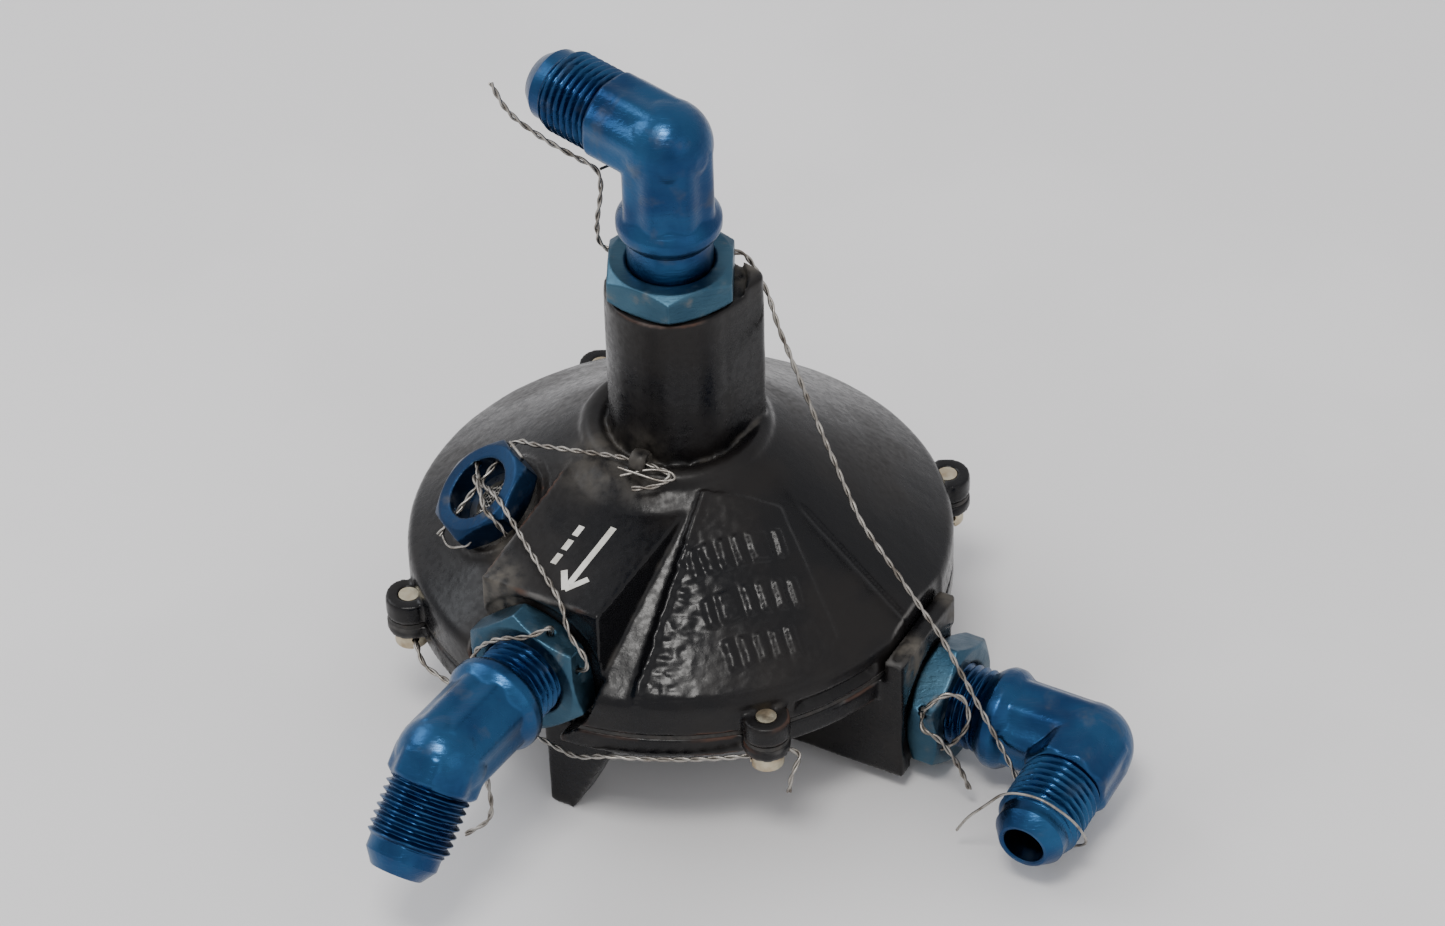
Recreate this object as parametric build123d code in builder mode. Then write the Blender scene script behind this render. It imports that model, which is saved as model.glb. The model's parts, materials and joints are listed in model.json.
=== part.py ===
from build123d import *
from math import cos, radians, sin, sqrt, tan
import os

# Diaphragm-operated flow control valve. Millimetres, +Z up along the tower.
# The origin is on the tower's axis, at the level of the feet.

# ---- driving dimensions: casting ----
RIM_RADIUS = 46.5
RIM_TOP = 31.3            # height of the cover's rim edge
RIM_ROUND = 2.6
PARTING = 25.0            # underside of the cover
FLANGE_BOTTOM = 20.1
CHAMBER_RADIUS = 34.8
CONE_TOP_RADIUS = 15.9
CONE_TOP = 53.5
TOWER_RADIUS = 11.25
TOWER_TOP = 83.3          # spotface under the top jam nut
TOWER_HORN = 84.9         # corner of the tower that stands above the spotface
TOWER_CORNER_ROUND = 1.8
SPOTFACE_RADIUS = 12.5
HOUSING_BOTTOM = 4.6
HOUSING_FLOOR = 9.2

# ---- driving dimensions: closing screws, number 6 drilled fillister heads ----
LUG_COUNT = 4
LUG_CIRCLE = 48.0
LUG_RADIUS = 4.0
LUG_FIRST_ANGLE = 16.2
LUG_TOP = 29.0
LUG_BOTTOM = 21.9
SCREW_RADIUS = 1.72
SCREW_HEAD_RADIUS = 2.85
SCREW_HEAD_HEIGHT = 3.0
SCREW_CLEARANCE = 1.95

# ---- driving dimensions: ports and fittings, 9/16-18 thread, 37 degree flare ----
THREAD_RADIUS = 7.14
THREAD_FIT = 0.03         # radial room between a thread's crest cylinder and its hole
FITTING_BORE = 3.6
FITTING_NECK = 6.3        # plain neck that the port seal sits round
FITTING_LEG = 7.6
COLLAR_RADIUS = 8.8
COLLAR_PLACE = 13.6       # from the port face to the middle of the collar
BOSS_END = 8.0            # length screwed into the port
CORNER_REACH = 28.9       # from the port face to the bend
FLARE_TIP_RADIUS = 4.4
FLARE_BASE_RADIUS = 6.2
FLARE_CONE = 2.4
FLARE_NOSE = 4.8          # from the thread's end to the tip
FLARE_THREAD = 10.0
NUT_ACROSS_FLATS = 20.64
NUT_THICKNESS = 5.8
NUT_RECESS_RADIUS = 9.0
NUT_RECESS_DEPTH = 2.2
SEAL_CHAMFER = 2.0        # depth and width of the chamfer at a port's mouth
SEAL_WIRE = 0.95
BOSS_PROUD = 0.6          # how far a port block stands out past its spotface
SPOTFACE_REACH = 9.0      # how far out a spotface cuts away what stands beside the nut

TOP_OUTLET_ANGLE = 136.5
TOP_OUTLET_LEG = 27.3
FRONT_PORT_ANGLE = 235.5
FRONT_PORT_HEIGHT = 32.4
FRONT_PORT_REACH = 41.0
FRONT_OUTLET_LEG = 20.0
# the front block's two sides: distance from the port's axis, top height, rise at the tower
FRONT_BLOCK_LEFT = (11.4, 45.1, 9.9)
FRONT_BLOCK_RIGHT = (12.1, 47.2, 5.8)
FRONT_TONGUE_REACH = 37.4  # a tongue under the block hooks down through the flange
FRONT_TONGUE_HALF_WIDTH = 5.9
SIDE_PORT_ANGLE = -29.5
SIDE_PORT_HEIGHT = 11.95
SIDE_PORT_REACH = 48.2
SIDE_OUTLET_RISE = -4.0
SIDE_OUTLET_LEG = 24.8
SIDE_BLOCK_NEAR_WIDTH = 12.9  # from the port's axis to each side of its block
SIDE_BLOCK_FAR_WIDTH = 7.3
SIDE_BLOCK_BOTTOM = 3.2
SIDE_BLOCK_TOP = 28.7
SIDE_BLOCK_START = 20.0
RIM_FLAT_REACH = 45.4     # flat cut in the cover's rim beside the side block

# ---- driving dimensions: vent plug ----
VENT_ANGLE = 194.0
VENT_TILT = 37.0
VENT_CIRCLE = 31.2
VENT_HEIGHT = 43.2
VENT_ACROSS_FLATS = 17.0
VENT_HEAD = 5.0
VENT_THREAD = 6.35
VENT_SHANK = 6.5
VENT_BORE = 5.8
VENT_STEP_RADIUS = 4.3
VENT_STEP_DEPTH = 0.6
VENT_WASHER = 0.8

# ---- driving dimensions: feet ----
FOOT_ANGLES = (239.0, 359.0, 119.0)
FOOT_INNER = 34.4
FOOT_OUTER = 41.4
FOOT_HOLE_RADIUS = 1.25   # tapped holes up into the feet
FOOT_HOLE_DEPTH = 6.0

# ---- driving dimensions: lockwire, two strands twisted, and its drilled holes ----
WIRE_RADIUS = 0.5
WIRE_HOLE = 0.65
WIRE_BEND = 2.4           # longest run that a bend takes from each side of its corner

# ---- driving dimensions: valve works inside ----
DIAPHRAGM_THICKNESS = 0.8
CONVOLUTION_MIDDLE = 28.8
CONVOLUTION_RADIUS = 5.6
PLATE_RADIUS = 22.3
PLATE_THICKNESS = 1.2
PLATE_GAP = 0.05
WEB_BOTTOM = 45.0
GALLERY_BOTTOM = 52.0
GALLERY_RADIUS = 6.0
GUIDE_RADIUS = 4.0
GUIDE_FLANGE_RADIUS = 6.0
SEAT_BOTTOM = 58.0
SEAT_LEDGE = 59.2
SEAT_TOP = 61.0
SEAT_ORIFICE = 3.6
VALVE_CHAMBER_RADIUS = 6.6
STEM_RADIUS = 2.0
STEM_HEAD_RADIUS = 4.5
STEM_HEAD_BOTTOM = 21.2
STEM_TOP = 67.2
RUNNING_CLEARANCE = 0.05
SEAT_GAP = 0.1            # the closed poppet's face from the seat lip
POPPET_RADIUS = 5.3
POPPET_SEAL_THICKNESS = 1.2
POPPET_THICKNESS = 1.8
SPRING_RADIUS = 4.0
SPRING_WIRE = 0.35
SPRING_TURNS = 4
RETAINER_BOTTOM = 70.0
RETAINER_THICKNESS = 1.4
RETAINING_RING = 0.8

UP = Vector(0, 0, 1)
HOUSING_TOP = PARTING - DIAPHRAGM_THICKNESS
CONE_SLOPE = (CONE_TOP - RIM_TOP) / (RIM_RADIUS - CONE_TOP_RADIUS)
LUG_ANGLES = [LUG_FIRST_ANGLE + 90 * turn for turn in range(LUG_COUNT)]


def heading(angle, rise=0.0):
    """Unit vector at a plan angle, lifted by a rise angle, both in degrees."""
    flat = cos(radians(rise))
    return Vector(cos(radians(angle)) * flat, sin(radians(angle)) * flat, sin(radians(rise)))


def section_plane(origin, side, along):
    """Plane whose x is the side vector and whose y is the along vector."""
    return Plane(origin=origin, x_dir=side, z_dir=side.cross(along))


# A port's plane lies on its face: z leaves the port and x is the way its elbow bends.
FRONT_AXIS = heading(FRONT_PORT_ANGLE)
FRONT_SIDE = heading(FRONT_PORT_ANGLE + 90)
SIDE_AXIS = heading(SIDE_PORT_ANGLE)
TOP_PORT = Plane(origin=UP * TOWER_TOP, x_dir=heading(TOP_OUTLET_ANGLE), z_dir=UP)
FRONT_PORT = Plane(
    origin=FRONT_AXIS * FRONT_PORT_REACH + UP * FRONT_PORT_HEIGHT,
    x_dir=-UP,
    z_dir=FRONT_AXIS,
)
SIDE_PORT = Plane(
    origin=SIDE_AXIS * SIDE_PORT_REACH + UP * SIDE_PORT_HEIGHT,
    x_dir=heading(SIDE_PORT_ANGLE - 90, SIDE_OUTLET_RISE),
    z_dir=SIDE_AXIS,
)
VENT_PLANE = Plane(
    origin=heading(VENT_ANGLE) * VENT_CIRCLE + UP * VENT_HEIGHT,
    x_dir=heading(VENT_ANGLE + 90),
    z_dir=heading(VENT_ANGLE, 90 - VENT_TILT),
)


def around(angle, radius, height):
    """Point at a plan angle and a distance from the tower's axis."""
    return heading(angle) * radius + UP * height


def at_front(reach, side, height):
    """Point near the front port: out along its axis, to its right, and its height."""
    return FRONT_AXIS * reach + FRONT_SIDE * side + UP * height


def at_side(reach, side, height):
    """Point near the side port: out along its axis, to the side it bends to, and height."""
    return SIDE_AXIS * reach + heading(SIDE_PORT_ANGLE - 90) * side + UP * height


def at_vent(radius, angle, height):
    """Point in the vent plug's own round coordinates."""
    flat = VENT_PLANE.x_dir * cos(radians(angle)) + VENT_PLANE.y_dir * sin(radians(angle))
    return VENT_PLANE.origin + flat * radius + VENT_PLANE.z_dir * height


def at_side_outlet(along, away, above):
    """Point beside the side elbow's outlet, counted from its bend."""
    outlet = SIDE_PORT.x_dir
    bend = SIDE_PORT.origin + SIDE_AXIS * CORNER_REACH
    return bend + outlet * along + SIDE_AXIS * away + SIDE_AXIS.cross(outlet) * -above


# ---- lockwire runs: each list is the way one wire takes, corner by corner ----
FLANGE_WIRE = [
    around(191.5, 48.3, 20.8),
    around(200, 48.1, 20.7),
    around(205, 48.8, 19.2),
    around(227, 44.2, 17.0),
    around(247, 46.6, 17.6),
    around(253, 47.5, 20.4),
    around(262, 47.5, 20.8),
    around(271, 47.5, 20.8),
    around(282, 48.2, 20.8),
    around(290.4, 48.2, 20.8),
    around(292.5, 50.0, 20.0),
    around(289.5, 51.8, 18.0),
    around(289, 51.6, 14.0),
]
VENT_WIRE = [
    at_vent(10.6, 276, 3.9),
    at_vent(10.6, 124, 3.9),
    Vector(-24.0, -4.0, 53.0),
    Vector(-8.9, -11.96, 56.5),
    Vector(-3.9, -14.3, 56.5),
    Vector(-0.6, -16.4, 55.9),
    Vector(-3.4, -18.0, 55.0),
    Vector(-7.6, -17.6, 54.4),
]
VENT_TO_NUT_WIRE = [
    at_vent(8.2, 168, 4.8),
    at_vent(2.0, 173, 5.2),
    at_vent(7.5, 28, 7.2),
    at_front(41.9, 5.2, 47.4),
    at_front(44.0, 7.6, 43.4),
    at_front(44.4, 11.2, 40.2),
    at_front(44.4, 11.6, 37.6),
    at_front(44.4, 9.0, 36.4),
]
FRONT_NUT_WIRE = [
    at_front(43.6, 3.6, 40.6),
    at_front(44.6, 5.2, 44.6),
    at_front(47.8, 2.5, 43.0),
    at_front(48.7, -3.5, 40.7),
    at_front(48.8, -8.6, 35.5),
    at_front(49.4, -8.6, 29.0),
    at_front(52.0, -5.5, 21.5),
    at_front(56.0, -2.0, 17.0),
    at_front(58.0, 0.5, 12.0),
    at_front(58.0, -0.5, 8.0),
    at_front(60.0, -4.0, 5.0),
]
TOP_NUT_WIRE = [
    around(150, 8.6, 86.2),
    around(154, 13.0, 87.2),
    Vector(-12.0, 5.5, 92.0),
    Vector(-11.0, 6.0, 98.0),
    Vector(-11.0, 7.0, 102.0),
    Vector(-19.5, 8.0, 107.5),
    Vector(-25.6, 8.0, 113.4),
    Vector(-28.0, 8.0, 119.6),
]
TOP_TO_SIDE_WIRE = [
    Vector(8.0, 3.4, 86.4),
    Vector(11.6, 4.6, 86.3),
    Vector(13.4, 5.3, 83.0),
    Vector(15.9, 3.0, 78.4),
    Vector(17.2, -0.8, 74.8),
    Vector(23.4, -8.8, 60.0),
    Vector(30.0, -18.5, 46.5),
    Vector(43.0, -29.5, 30.0),
    at_side_outlet(9.5, -9.1, -0.8),
    at_side_outlet(12.0, -5.0, -7.9),
    at_side_outlet(15.0, 3.0, -8.6),
    at_side_outlet(18.0, 8.9, -2.0),
    at_side_outlet(20.0, 7.3, 4.8),
    at_side_outlet(20.4, 1.0, 8.2),
    at_side_outlet(20.6, -5.2, 6.8),
    at_side_outlet(20.9, -8.6, 2.2),
    at_side_outlet(21.2, -12.0, -2.0),
    at_side_outlet(21.4, -14.0, -6.0),
]
SIDE_NUT_WIRE = [
    at_side(54.8, 9.8, 10.2),
    at_side(57.5, 10.4, 13.3),
    at_side(59.6, 8.9, 17.3),
    at_side(58.0, 7.6, 21.3),
    at_side(55.0, 9.4, 22.6),
    at_side(52.6, 12.4, 20.2),
    at_side(51.0, 9.4, 17.2),
    at_side(52.4, 13.0, 16.2),
    at_side(55.2, 12.6, 15.4),
    at_side(57.8, 12.0, 11.8),
    at_side(59.5, 11.5, 7.8),
    at_side(60.5, 11.0, 4.3),
]


def finish(builder, name):
    """Labels a piece and writes its STEP file."""
    builder.part.label = name
    export_step(builder.part, f"parts/{name}.step")


def turned(plane, outline):
    """Solid turned about a plane's z axis, from (radius, height) points."""
    with BuildPart() as piece:
        with BuildSketch(section_plane(plane.origin, plane.x_dir, plane.z_dir)):
            with BuildLine():
                Polyline(*outline, close=True)
            make_face()
        revolve(axis=Axis(plane.origin, plane.z_dir))
    return piece.part


def port_cutter(port, passage_radius, passage_depth):
    """Spotface with room for the nut, seal chamfer, threaded hole and the passage behind it."""
    hole = THREAD_RADIUS + THREAD_FIT
    hole_depth = BOSS_END + 0.6
    outline = [
        (0, SPOTFACE_REACH),
        (SPOTFACE_RADIUS, SPOTFACE_REACH),
        (SPOTFACE_RADIUS, 0),
        (hole + SEAL_CHAMFER, 0),
        (hole, -SEAL_CHAMFER),
        (hole, -hole_depth),
        (passage_radius, -hole_depth - 1.5),
        (passage_radius, -passage_depth),
        (0, -passage_depth),
    ]
    return turned(port, outline)


def front_nut_room():
    """Space that the front port's spotface leaves in the pieces below the cover."""
    return turned(
        FRONT_PORT,
        [(0, 0), (SPOTFACE_RADIUS, 0), (SPOTFACE_RADIUS, SPOTFACE_REACH), (0, SPOTFACE_REACH)],
    )


def round_bar(start, end, radius):
    """Straight round bar between two points."""
    run = end - start
    with BuildPart() as bar:
        with BuildSketch(Plane(origin=start, z_dir=run)):
            Circle(radius)
        extrude(amount=run.length)
    return bar.part


def lug_posts(bottom, top, radius):
    """Round posts on the screw circle, one at each lug."""
    with BuildPart() as posts:
        with BuildSketch(Plane.XY.offset(bottom)):
            with Locations(*[heading(angle) * LUG_CIRCLE for angle in LUG_ANGLES]):
                Circle(radius)
        extrude(amount=top - bottom)
    return posts.part


# ---------------------------------------------------------------- casting


def cast_pad():
    """Raised rough pad on the cone, between the front port block and the front lug."""
    thickness = 0.7
    inner = 17.0
    outer = RIM_RADIUS - 0.9

    def cone_height(radius):
        return RIM_TOP + (RIM_RADIUS - radius) * CONE_SLOPE

    outline = [
        (inner, cone_height(inner) - 1),
        (outer, cone_height(outer) - 1),
        (outer, cone_height(outer) + thickness),
        (inner, cone_height(inner) + thickness),
    ]
    shell = turned(Plane.XY, outline)
    with BuildPart() as pad:
        with BuildSketch(Plane.XY):
            with BuildLine():
                Polyline(
                    (3.8, -17.0),
                    (-9.6, -47.0),
                    (11.3, -47.0),
                    (20.5, -40.5),
                    (25.6, -33.8),
                    (16.9, -16.4),
                    close=True,
                )
            make_face()
        extrude(amount=CONE_TOP + 5)
        add(shell, mode=Mode.INTERSECT)
    return pad.part


def front_block():
    """Block that carries the front port: its top falls outwards and tilts sideways."""
    left, left_top, left_rise = FRONT_BLOCK_LEFT
    right, right_top, right_rise = FRONT_BLOCK_RIGHT
    face = FRONT_PORT_REACH + BOSS_PROUD
    with BuildPart() as block:
        for place, top, rise in ((-left, left_top, left_rise), (right, right_top, right_rise)):
            with BuildSketch(section_plane(FRONT_SIDE * place, FRONT_AXIS, UP)):
                with BuildLine():
                    Polyline(
                        (0, WEB_BOTTOM),
                        (FRONT_PORT_REACH - 12, PARTING),
                        (face, PARTING),
                        (face, top),
                        (0, top + rise),
                        close=True,
                    )
                make_face()
        loft(ruled=True)
    return block.part


def front_tongue(inner, outer, slack):
    """Box at the front port's flange, from one reach to another, wider by the slack."""
    with BuildPart() as box:
        with BuildSketch(section_plane(Vector(0, 0, 0), FRONT_AXIS, UP)):
            with BuildLine():
                Polyline(
                    (inner - slack, FLANGE_BOTTOM - slack),
                    (outer, FLANGE_BOTTOM - slack),
                    (outer, PARTING + slack),
                    (inner - slack, PARTING + slack),
                    close=True,
                )
            make_face()
        extrude(amount=FRONT_TONGUE_HALF_WIDTH + slack, both=True)
    return box.part


def gallery_bosses():
    """Bosses inside the cover round the front port and its drilled way up to the tower."""
    port_back = FRONT_PORT.origin - FRONT_AXIS * 11.0
    with BuildPart() as bosses:
        add(round_bar(port_back, FRONT_PORT.origin - FRONT_AXIS * 3, 9.4))
        add(round_bar(port_back + FRONT_AXIS * 1.5, UP * (GALLERY_BOTTOM + 1.5), 5.4))
        split(bisect_by=Plane.XY.offset(PARTING), keep=Keep.TOP)
    return bosses.part


def tower_bar():
    """The tower: round, with one blunt square corner towards +X."""
    corner = TOWER_RADIUS * sqrt(2)
    blunt = TOWER_CORNER_ROUND
    with BuildPart() as bar:
        with BuildSketch(Plane.XY.offset(CONE_TOP - 4)):
            Circle(TOWER_RADIUS)
            with BuildLine():
                FilletPolyline(
                    (0, 0),
                    (corner / 2, corner / 2),
                    (corner, 0),
                    (corner / 2, -corner / 2),
                    close=True,
                    radius=blunt,
                )
            make_face()
            Circle(corner / 2)
        extrude(amount=TOWER_HORN - CONE_TOP + 4)
    return bar.part


def wire_ear():
    """Small drilled ear at the foot of the tower, for the vent plug's lockwire."""
    ear_angle = 245.0
    out = heading(ear_angle)
    across = heading(ear_angle + 90)
    middle = out * 14.6 + UP * (CONE_TOP + 3.0)
    with BuildPart() as ear:
        with BuildSketch(section_plane(middle, out, UP)):
            Circle(2.2)
            with Locations((0, -2.5)):
                Rectangle(4.4, 5.0)
            Circle(0.75, mode=Mode.SUBTRACT)
        extrude(amount=1.4, both=True)
    return ear.part


def make_upper_cover():
    tower = tower_bar()
    block = front_block()
    tongue = front_tongue(FRONT_TONGUE_REACH, FRONT_PORT_REACH, 0)
    pad = cast_pad()
    ear = wire_ear()
    bosses = gallery_bosses()
    front_port = port_cutter(FRONT_PORT, FITTING_BORE, BOSS_END + 2.4)
    top_port = port_cutter(TOP_PORT, VALVE_CHAMBER_RADIUS, TOWER_TOP - SEAT_LEDGE)
    gallery_start = FRONT_PORT.origin - FRONT_AXIS * (BOSS_END + 1.8)
    gallery = round_bar(gallery_start, UP * (GALLERY_BOTTOM + 3.2), 2.9)
    lugs = lug_posts(PARTING, LUG_TOP, LUG_RADIUS)
    tapped_holes = lug_posts(PARTING - 1, LUG_TOP + 1, SCREW_RADIUS + THREAD_FIT)
    vent_boss = turned(VENT_PLANE, [(0, 0), (9.6, 0), (11.0, -5.0), (0, -5.0)])
    vent_hole = turned(
        VENT_PLANE,
        [
            (0, 4),
            (10.2, 4),
            (10.2, 0),
            (VENT_THREAD + THREAD_FIT, 0),
            (VENT_THREAD + THREAD_FIT, -12),
            (0, -12),
        ],
    )
    with BuildPart() as cover:
        # cone with its rim
        with BuildSketch(Plane.XZ):
            with BuildLine():
                Polyline(
                    (0, PARTING),
                    (RIM_RADIUS, PARTING),
                    (RIM_RADIUS, RIM_TOP),
                    (CONE_TOP_RADIUS, CONE_TOP),
                    (0, CONE_TOP),
                    close=True,
                )
            make_face()
        revolve(axis=Axis.Z)
        rim_edge = cover.edges().filter_by_position(Axis.Z, RIM_TOP - 0.1, RIM_TOP + 0.1)
        fillet(rim_edge, RIM_ROUND)
        # bead round the foot of the tower
        with BuildSketch(Plane.XZ):
            with Locations((CONE_TOP_RADIUS - 1.8, CONE_TOP - 0.6)):
                Circle(2.3)
        revolve(axis=Axis.Z)
        add(tower)
        add(block)
        add(tongue)
        add(pad)
        add(lugs)
        add(ear)
        add(vent_boss)
        # chamber under the cone
        with BuildSketch(Plane.XZ):
            with BuildLine():
                Polyline(
                    (0, PARTING),
                    (CHAMBER_RADIUS, PARTING),
                    (CHAMBER_RADIUS, RIM_TOP + 2.4),
                    (CONE_TOP_RADIUS + 4, WEB_BOTTOM),
                    (0, WEB_BOTTOM),
                    close=True,
                )
            make_face()
        revolve(axis=Axis.Z, mode=Mode.SUBTRACT)
        add(bosses)
        # flat cut in the rim beside the side port's block
        far_side = heading(SIDE_PORT_ANGLE + 90) * (SIDE_BLOCK_FAR_WIDTH + 0.4)
        with BuildSketch(section_plane(far_side + UP * PARTING, SIDE_AXIS, UP)):
            with Locations((RIM_FLAT_REACH + 5, 0)):
                Rectangle(10, 30)
        extrude(amount=SIDE_BLOCK_NEAR_WIDTH + SIDE_BLOCK_FAR_WIDTH + 0.8, mode=Mode.SUBTRACT)
        # holes
        with BuildSketch(Plane.XY.offset(GALLERY_BOTTOM)):
            Circle(GALLERY_RADIUS)
        extrude(amount=SEAT_LEDGE - GALLERY_BOTTOM, mode=Mode.SUBTRACT)
        with BuildSketch(Plane.XY.offset(WEB_BOTTOM)):
            Circle(GUIDE_RADIUS)
        extrude(amount=GALLERY_BOTTOM - WEB_BOTTOM, mode=Mode.SUBTRACT)
        with BuildSketch(Plane.XY.offset(PARTING)):
            Circle(GUIDE_FLANGE_RADIUS + 0.1)
        extrude(amount=WEB_BOTTOM - PARTING, mode=Mode.SUBTRACT)
        for cutter in (front_port, top_port, gallery, tapped_holes, vent_hole):
            add(cutter, mode=Mode.SUBTRACT)
    finish(cover, "upper_cover")


def foot(angle):
    """Tapered leg under the flange, with its straight side and its slanting side."""
    with BuildPart() as leg:
        with BuildSketch(section_plane(heading(angle) * FOOT_INNER, heading(angle + 90), UP)):
            with BuildLine():
                Polyline(
                    (-2.8, FLANGE_BOTTOM + 1),
                    (-2.4, 0),
                    (2.2, 0),
                    (9.0, FLANGE_BOTTOM - 6),
                    (9.0, FLANGE_BOTTOM + 1),
                    close=True,
                )
            make_face()
        extrude(amount=FOOT_OUTER - FOOT_INNER)
        with BuildSketch(Plane.XY):
            with Locations(heading(angle) * (0.5 * (FOOT_INNER + FOOT_OUTER))):
                Circle(FOOT_HOLE_RADIUS)
        extrude(amount=FOOT_HOLE_DEPTH, mode=Mode.SUBTRACT)
    return leg.part


def make_lower_housing():
    port = port_cutter(SIDE_PORT, FITTING_BORE, SIDE_PORT_REACH - 25)
    nut_room = front_nut_room()
    tongue_room = front_tongue(FRONT_TONGUE_REACH, RIM_RADIUS + 2, 0.1)
    head_room = lug_posts(LUG_BOTTOM - 6, LUG_BOTTOM, SCREW_HEAD_RADIUS + 0.4)
    lugs = lug_posts(LUG_BOTTOM, HOUSING_TOP, LUG_RADIUS)
    screw_holes = lug_posts(LUG_BOTTOM - 1, HOUSING_TOP + 1, SCREW_CLEARANCE)
    feet = [foot(angle) for angle in FOOT_ANGLES]
    with BuildPart() as housing:
        with BuildSketch(Plane.XZ):
            with BuildLine():
                Polyline(
                    (0, HOUSING_BOTTOM),
                    (28.5, HOUSING_BOTTOM),
                    (38.5, FLANGE_BOTTOM),
                    (RIM_RADIUS, FLANGE_BOTTOM),
                    (RIM_RADIUS, HOUSING_TOP),
                    (0, HOUSING_TOP),
                    close=True,
                )
            make_face()
        revolve(axis=Axis.Z)
        add(lugs)
        for leg in feet:
            add(leg)
        # block that carries the side port
        far_side = heading(SIDE_PORT_ANGLE + 90) * SIDE_BLOCK_FAR_WIDTH
        with BuildSketch(section_plane(far_side, SIDE_AXIS, UP)):
            with BuildLine():
                Polyline(
                    (SIDE_BLOCK_START, SIDE_BLOCK_BOTTOM),
                    (SIDE_PORT_REACH + BOSS_PROUD, SIDE_BLOCK_BOTTOM),
                    (SIDE_PORT_REACH + BOSS_PROUD, SIDE_BLOCK_TOP),
                    (RIM_FLAT_REACH + 0.2, SIDE_BLOCK_TOP),
                    (RIM_FLAT_REACH + 0.2, HOUSING_TOP),
                    (SIDE_BLOCK_START, HOUSING_TOP),
                    close=True,
                )
            make_face()
        extrude(amount=SIDE_BLOCK_NEAR_WIDTH + SIDE_BLOCK_FAR_WIDTH)
        # chamber
        with BuildSketch(Plane.XZ):
            with BuildLine():
                Polyline(
                    (0, HOUSING_FLOOR),
                    (26.0, HOUSING_FLOOR),
                    (CHAMBER_RADIUS, FLANGE_BOTTOM + 0.4),
                    (CHAMBER_RADIUS, HOUSING_TOP),
                    (0, HOUSING_TOP),
                    close=True,
                )
            make_face()
        revolve(axis=Axis.Z, mode=Mode.SUBTRACT)
        for cutter in (port, nut_room, tongue_room, head_room, screw_holes):
            add(cutter, mode=Mode.SUBTRACT)
    finish(housing, "lower_housing")


def make_flange_screws():
    """Fillister head screws put in from below, slotted and drilled for lockwire."""
    with BuildPart() as screws:
        add(lug_posts(LUG_BOTTOM - SCREW_HEAD_HEIGHT, LUG_BOTTOM, SCREW_HEAD_RADIUS))
        add(lug_posts(LUG_BOTTOM, LUG_TOP - 0.1, SCREW_RADIUS))
        for angle in LUG_ANGLES:
            head = heading(angle) * LUG_CIRCLE + UP * (LUG_BOTTOM - SCREW_HEAD_HEIGHT)
            out = heading(angle)
            with BuildSketch(section_plane(head, out, UP)):
                Rectangle(0.9, 1.8)
            extrude(amount=4, both=True, mode=Mode.SUBTRACT)
            with BuildSketch(section_plane(head + UP * 1.9, out, UP)):
                Circle(WIRE_HOLE)
            extrude(amount=4, both=True, mode=Mode.SUBTRACT)
    finish(screws, "flange_screws")


# ---------------------------------------------------------------- fittings


def boss_leg(port):
    """Straight half of an elbow: the end in the port, the collar and the way to the bend."""
    outline = [
        (0, -BOSS_END),
        (THREAD_RADIUS - 0.7, -BOSS_END),
        (THREAD_RADIUS, -BOSS_END + 0.7),
        (THREAD_RADIUS, -SEAL_CHAMFER),
        (FITTING_NECK, -SEAL_CHAMFER + 0.4),
        (FITTING_NECK, NUT_RECESS_DEPTH),
        (THREAD_RADIUS, NUT_RECESS_DEPTH + 0.4),
        (THREAD_RADIUS, COLLAR_PLACE - 3.2),
        (COLLAR_RADIUS - 0.5, COLLAR_PLACE - 1.8),
        (COLLAR_RADIUS, COLLAR_PLACE - 0.9),
        (COLLAR_RADIUS, COLLAR_PLACE + 0.9),
        (COLLAR_RADIUS - 0.5, COLLAR_PLACE + 1.8),
        (FITTING_LEG, COLLAR_PLACE + 3.4),
        (FITTING_LEG, CORNER_REACH),
        (0, CORNER_REACH),
    ]
    return turned(port, outline)


def flare_leg(corner, length):
    """Outlet half of an elbow, from the bend to the flared nose."""
    thread_start = length - FLARE_NOSE - FLARE_THREAD
    outline = [
        (0, 0),
        (FITTING_LEG, 0),
        (FITTING_LEG, thread_start - 0.8),
        (THREAD_RADIUS, thread_start),
        (THREAD_RADIUS, length - FLARE_NOSE),
        (FLARE_BASE_RADIUS, length - FLARE_NOSE + 0.6),
        (FLARE_BASE_RADIUS, length - FLARE_CONE),
        (FLARE_TIP_RADIUS, length),
        (0, length),
    ]
    return turned(corner, outline)


def make_elbow(name, port, bend, outlet_leg):
    corner_point = port.origin + port.z_dir * CORNER_REACH
    outlet = port.z_dir * cos(radians(bend)) + port.x_dir * sin(radians(bend))
    corner = Plane(origin=corner_point, x_dir=port.y_dir, z_dir=outlet)
    inlet_half = boss_leg(port)
    outlet_half = flare_leg(corner, outlet_leg)
    inlet_bore = round_bar(port.origin - port.z_dir * (BOSS_END + 1), corner_point, FITTING_BORE)
    outlet_bore = round_bar(corner_point, corner_point + outlet * (outlet_leg + 1), FITTING_BORE)
    with BuildPart() as elbow:
        add(inlet_half)
        add(outlet_half)
        with Locations(corner_point):
            Sphere(FITTING_LEG)
        add(inlet_bore, mode=Mode.SUBTRACT)
        add(outlet_bore, mode=Mode.SUBTRACT)
        with Locations(corner_point):
            Sphere(FITTING_BORE, mode=Mode.SUBTRACT)
    finish(elbow, name)


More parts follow.
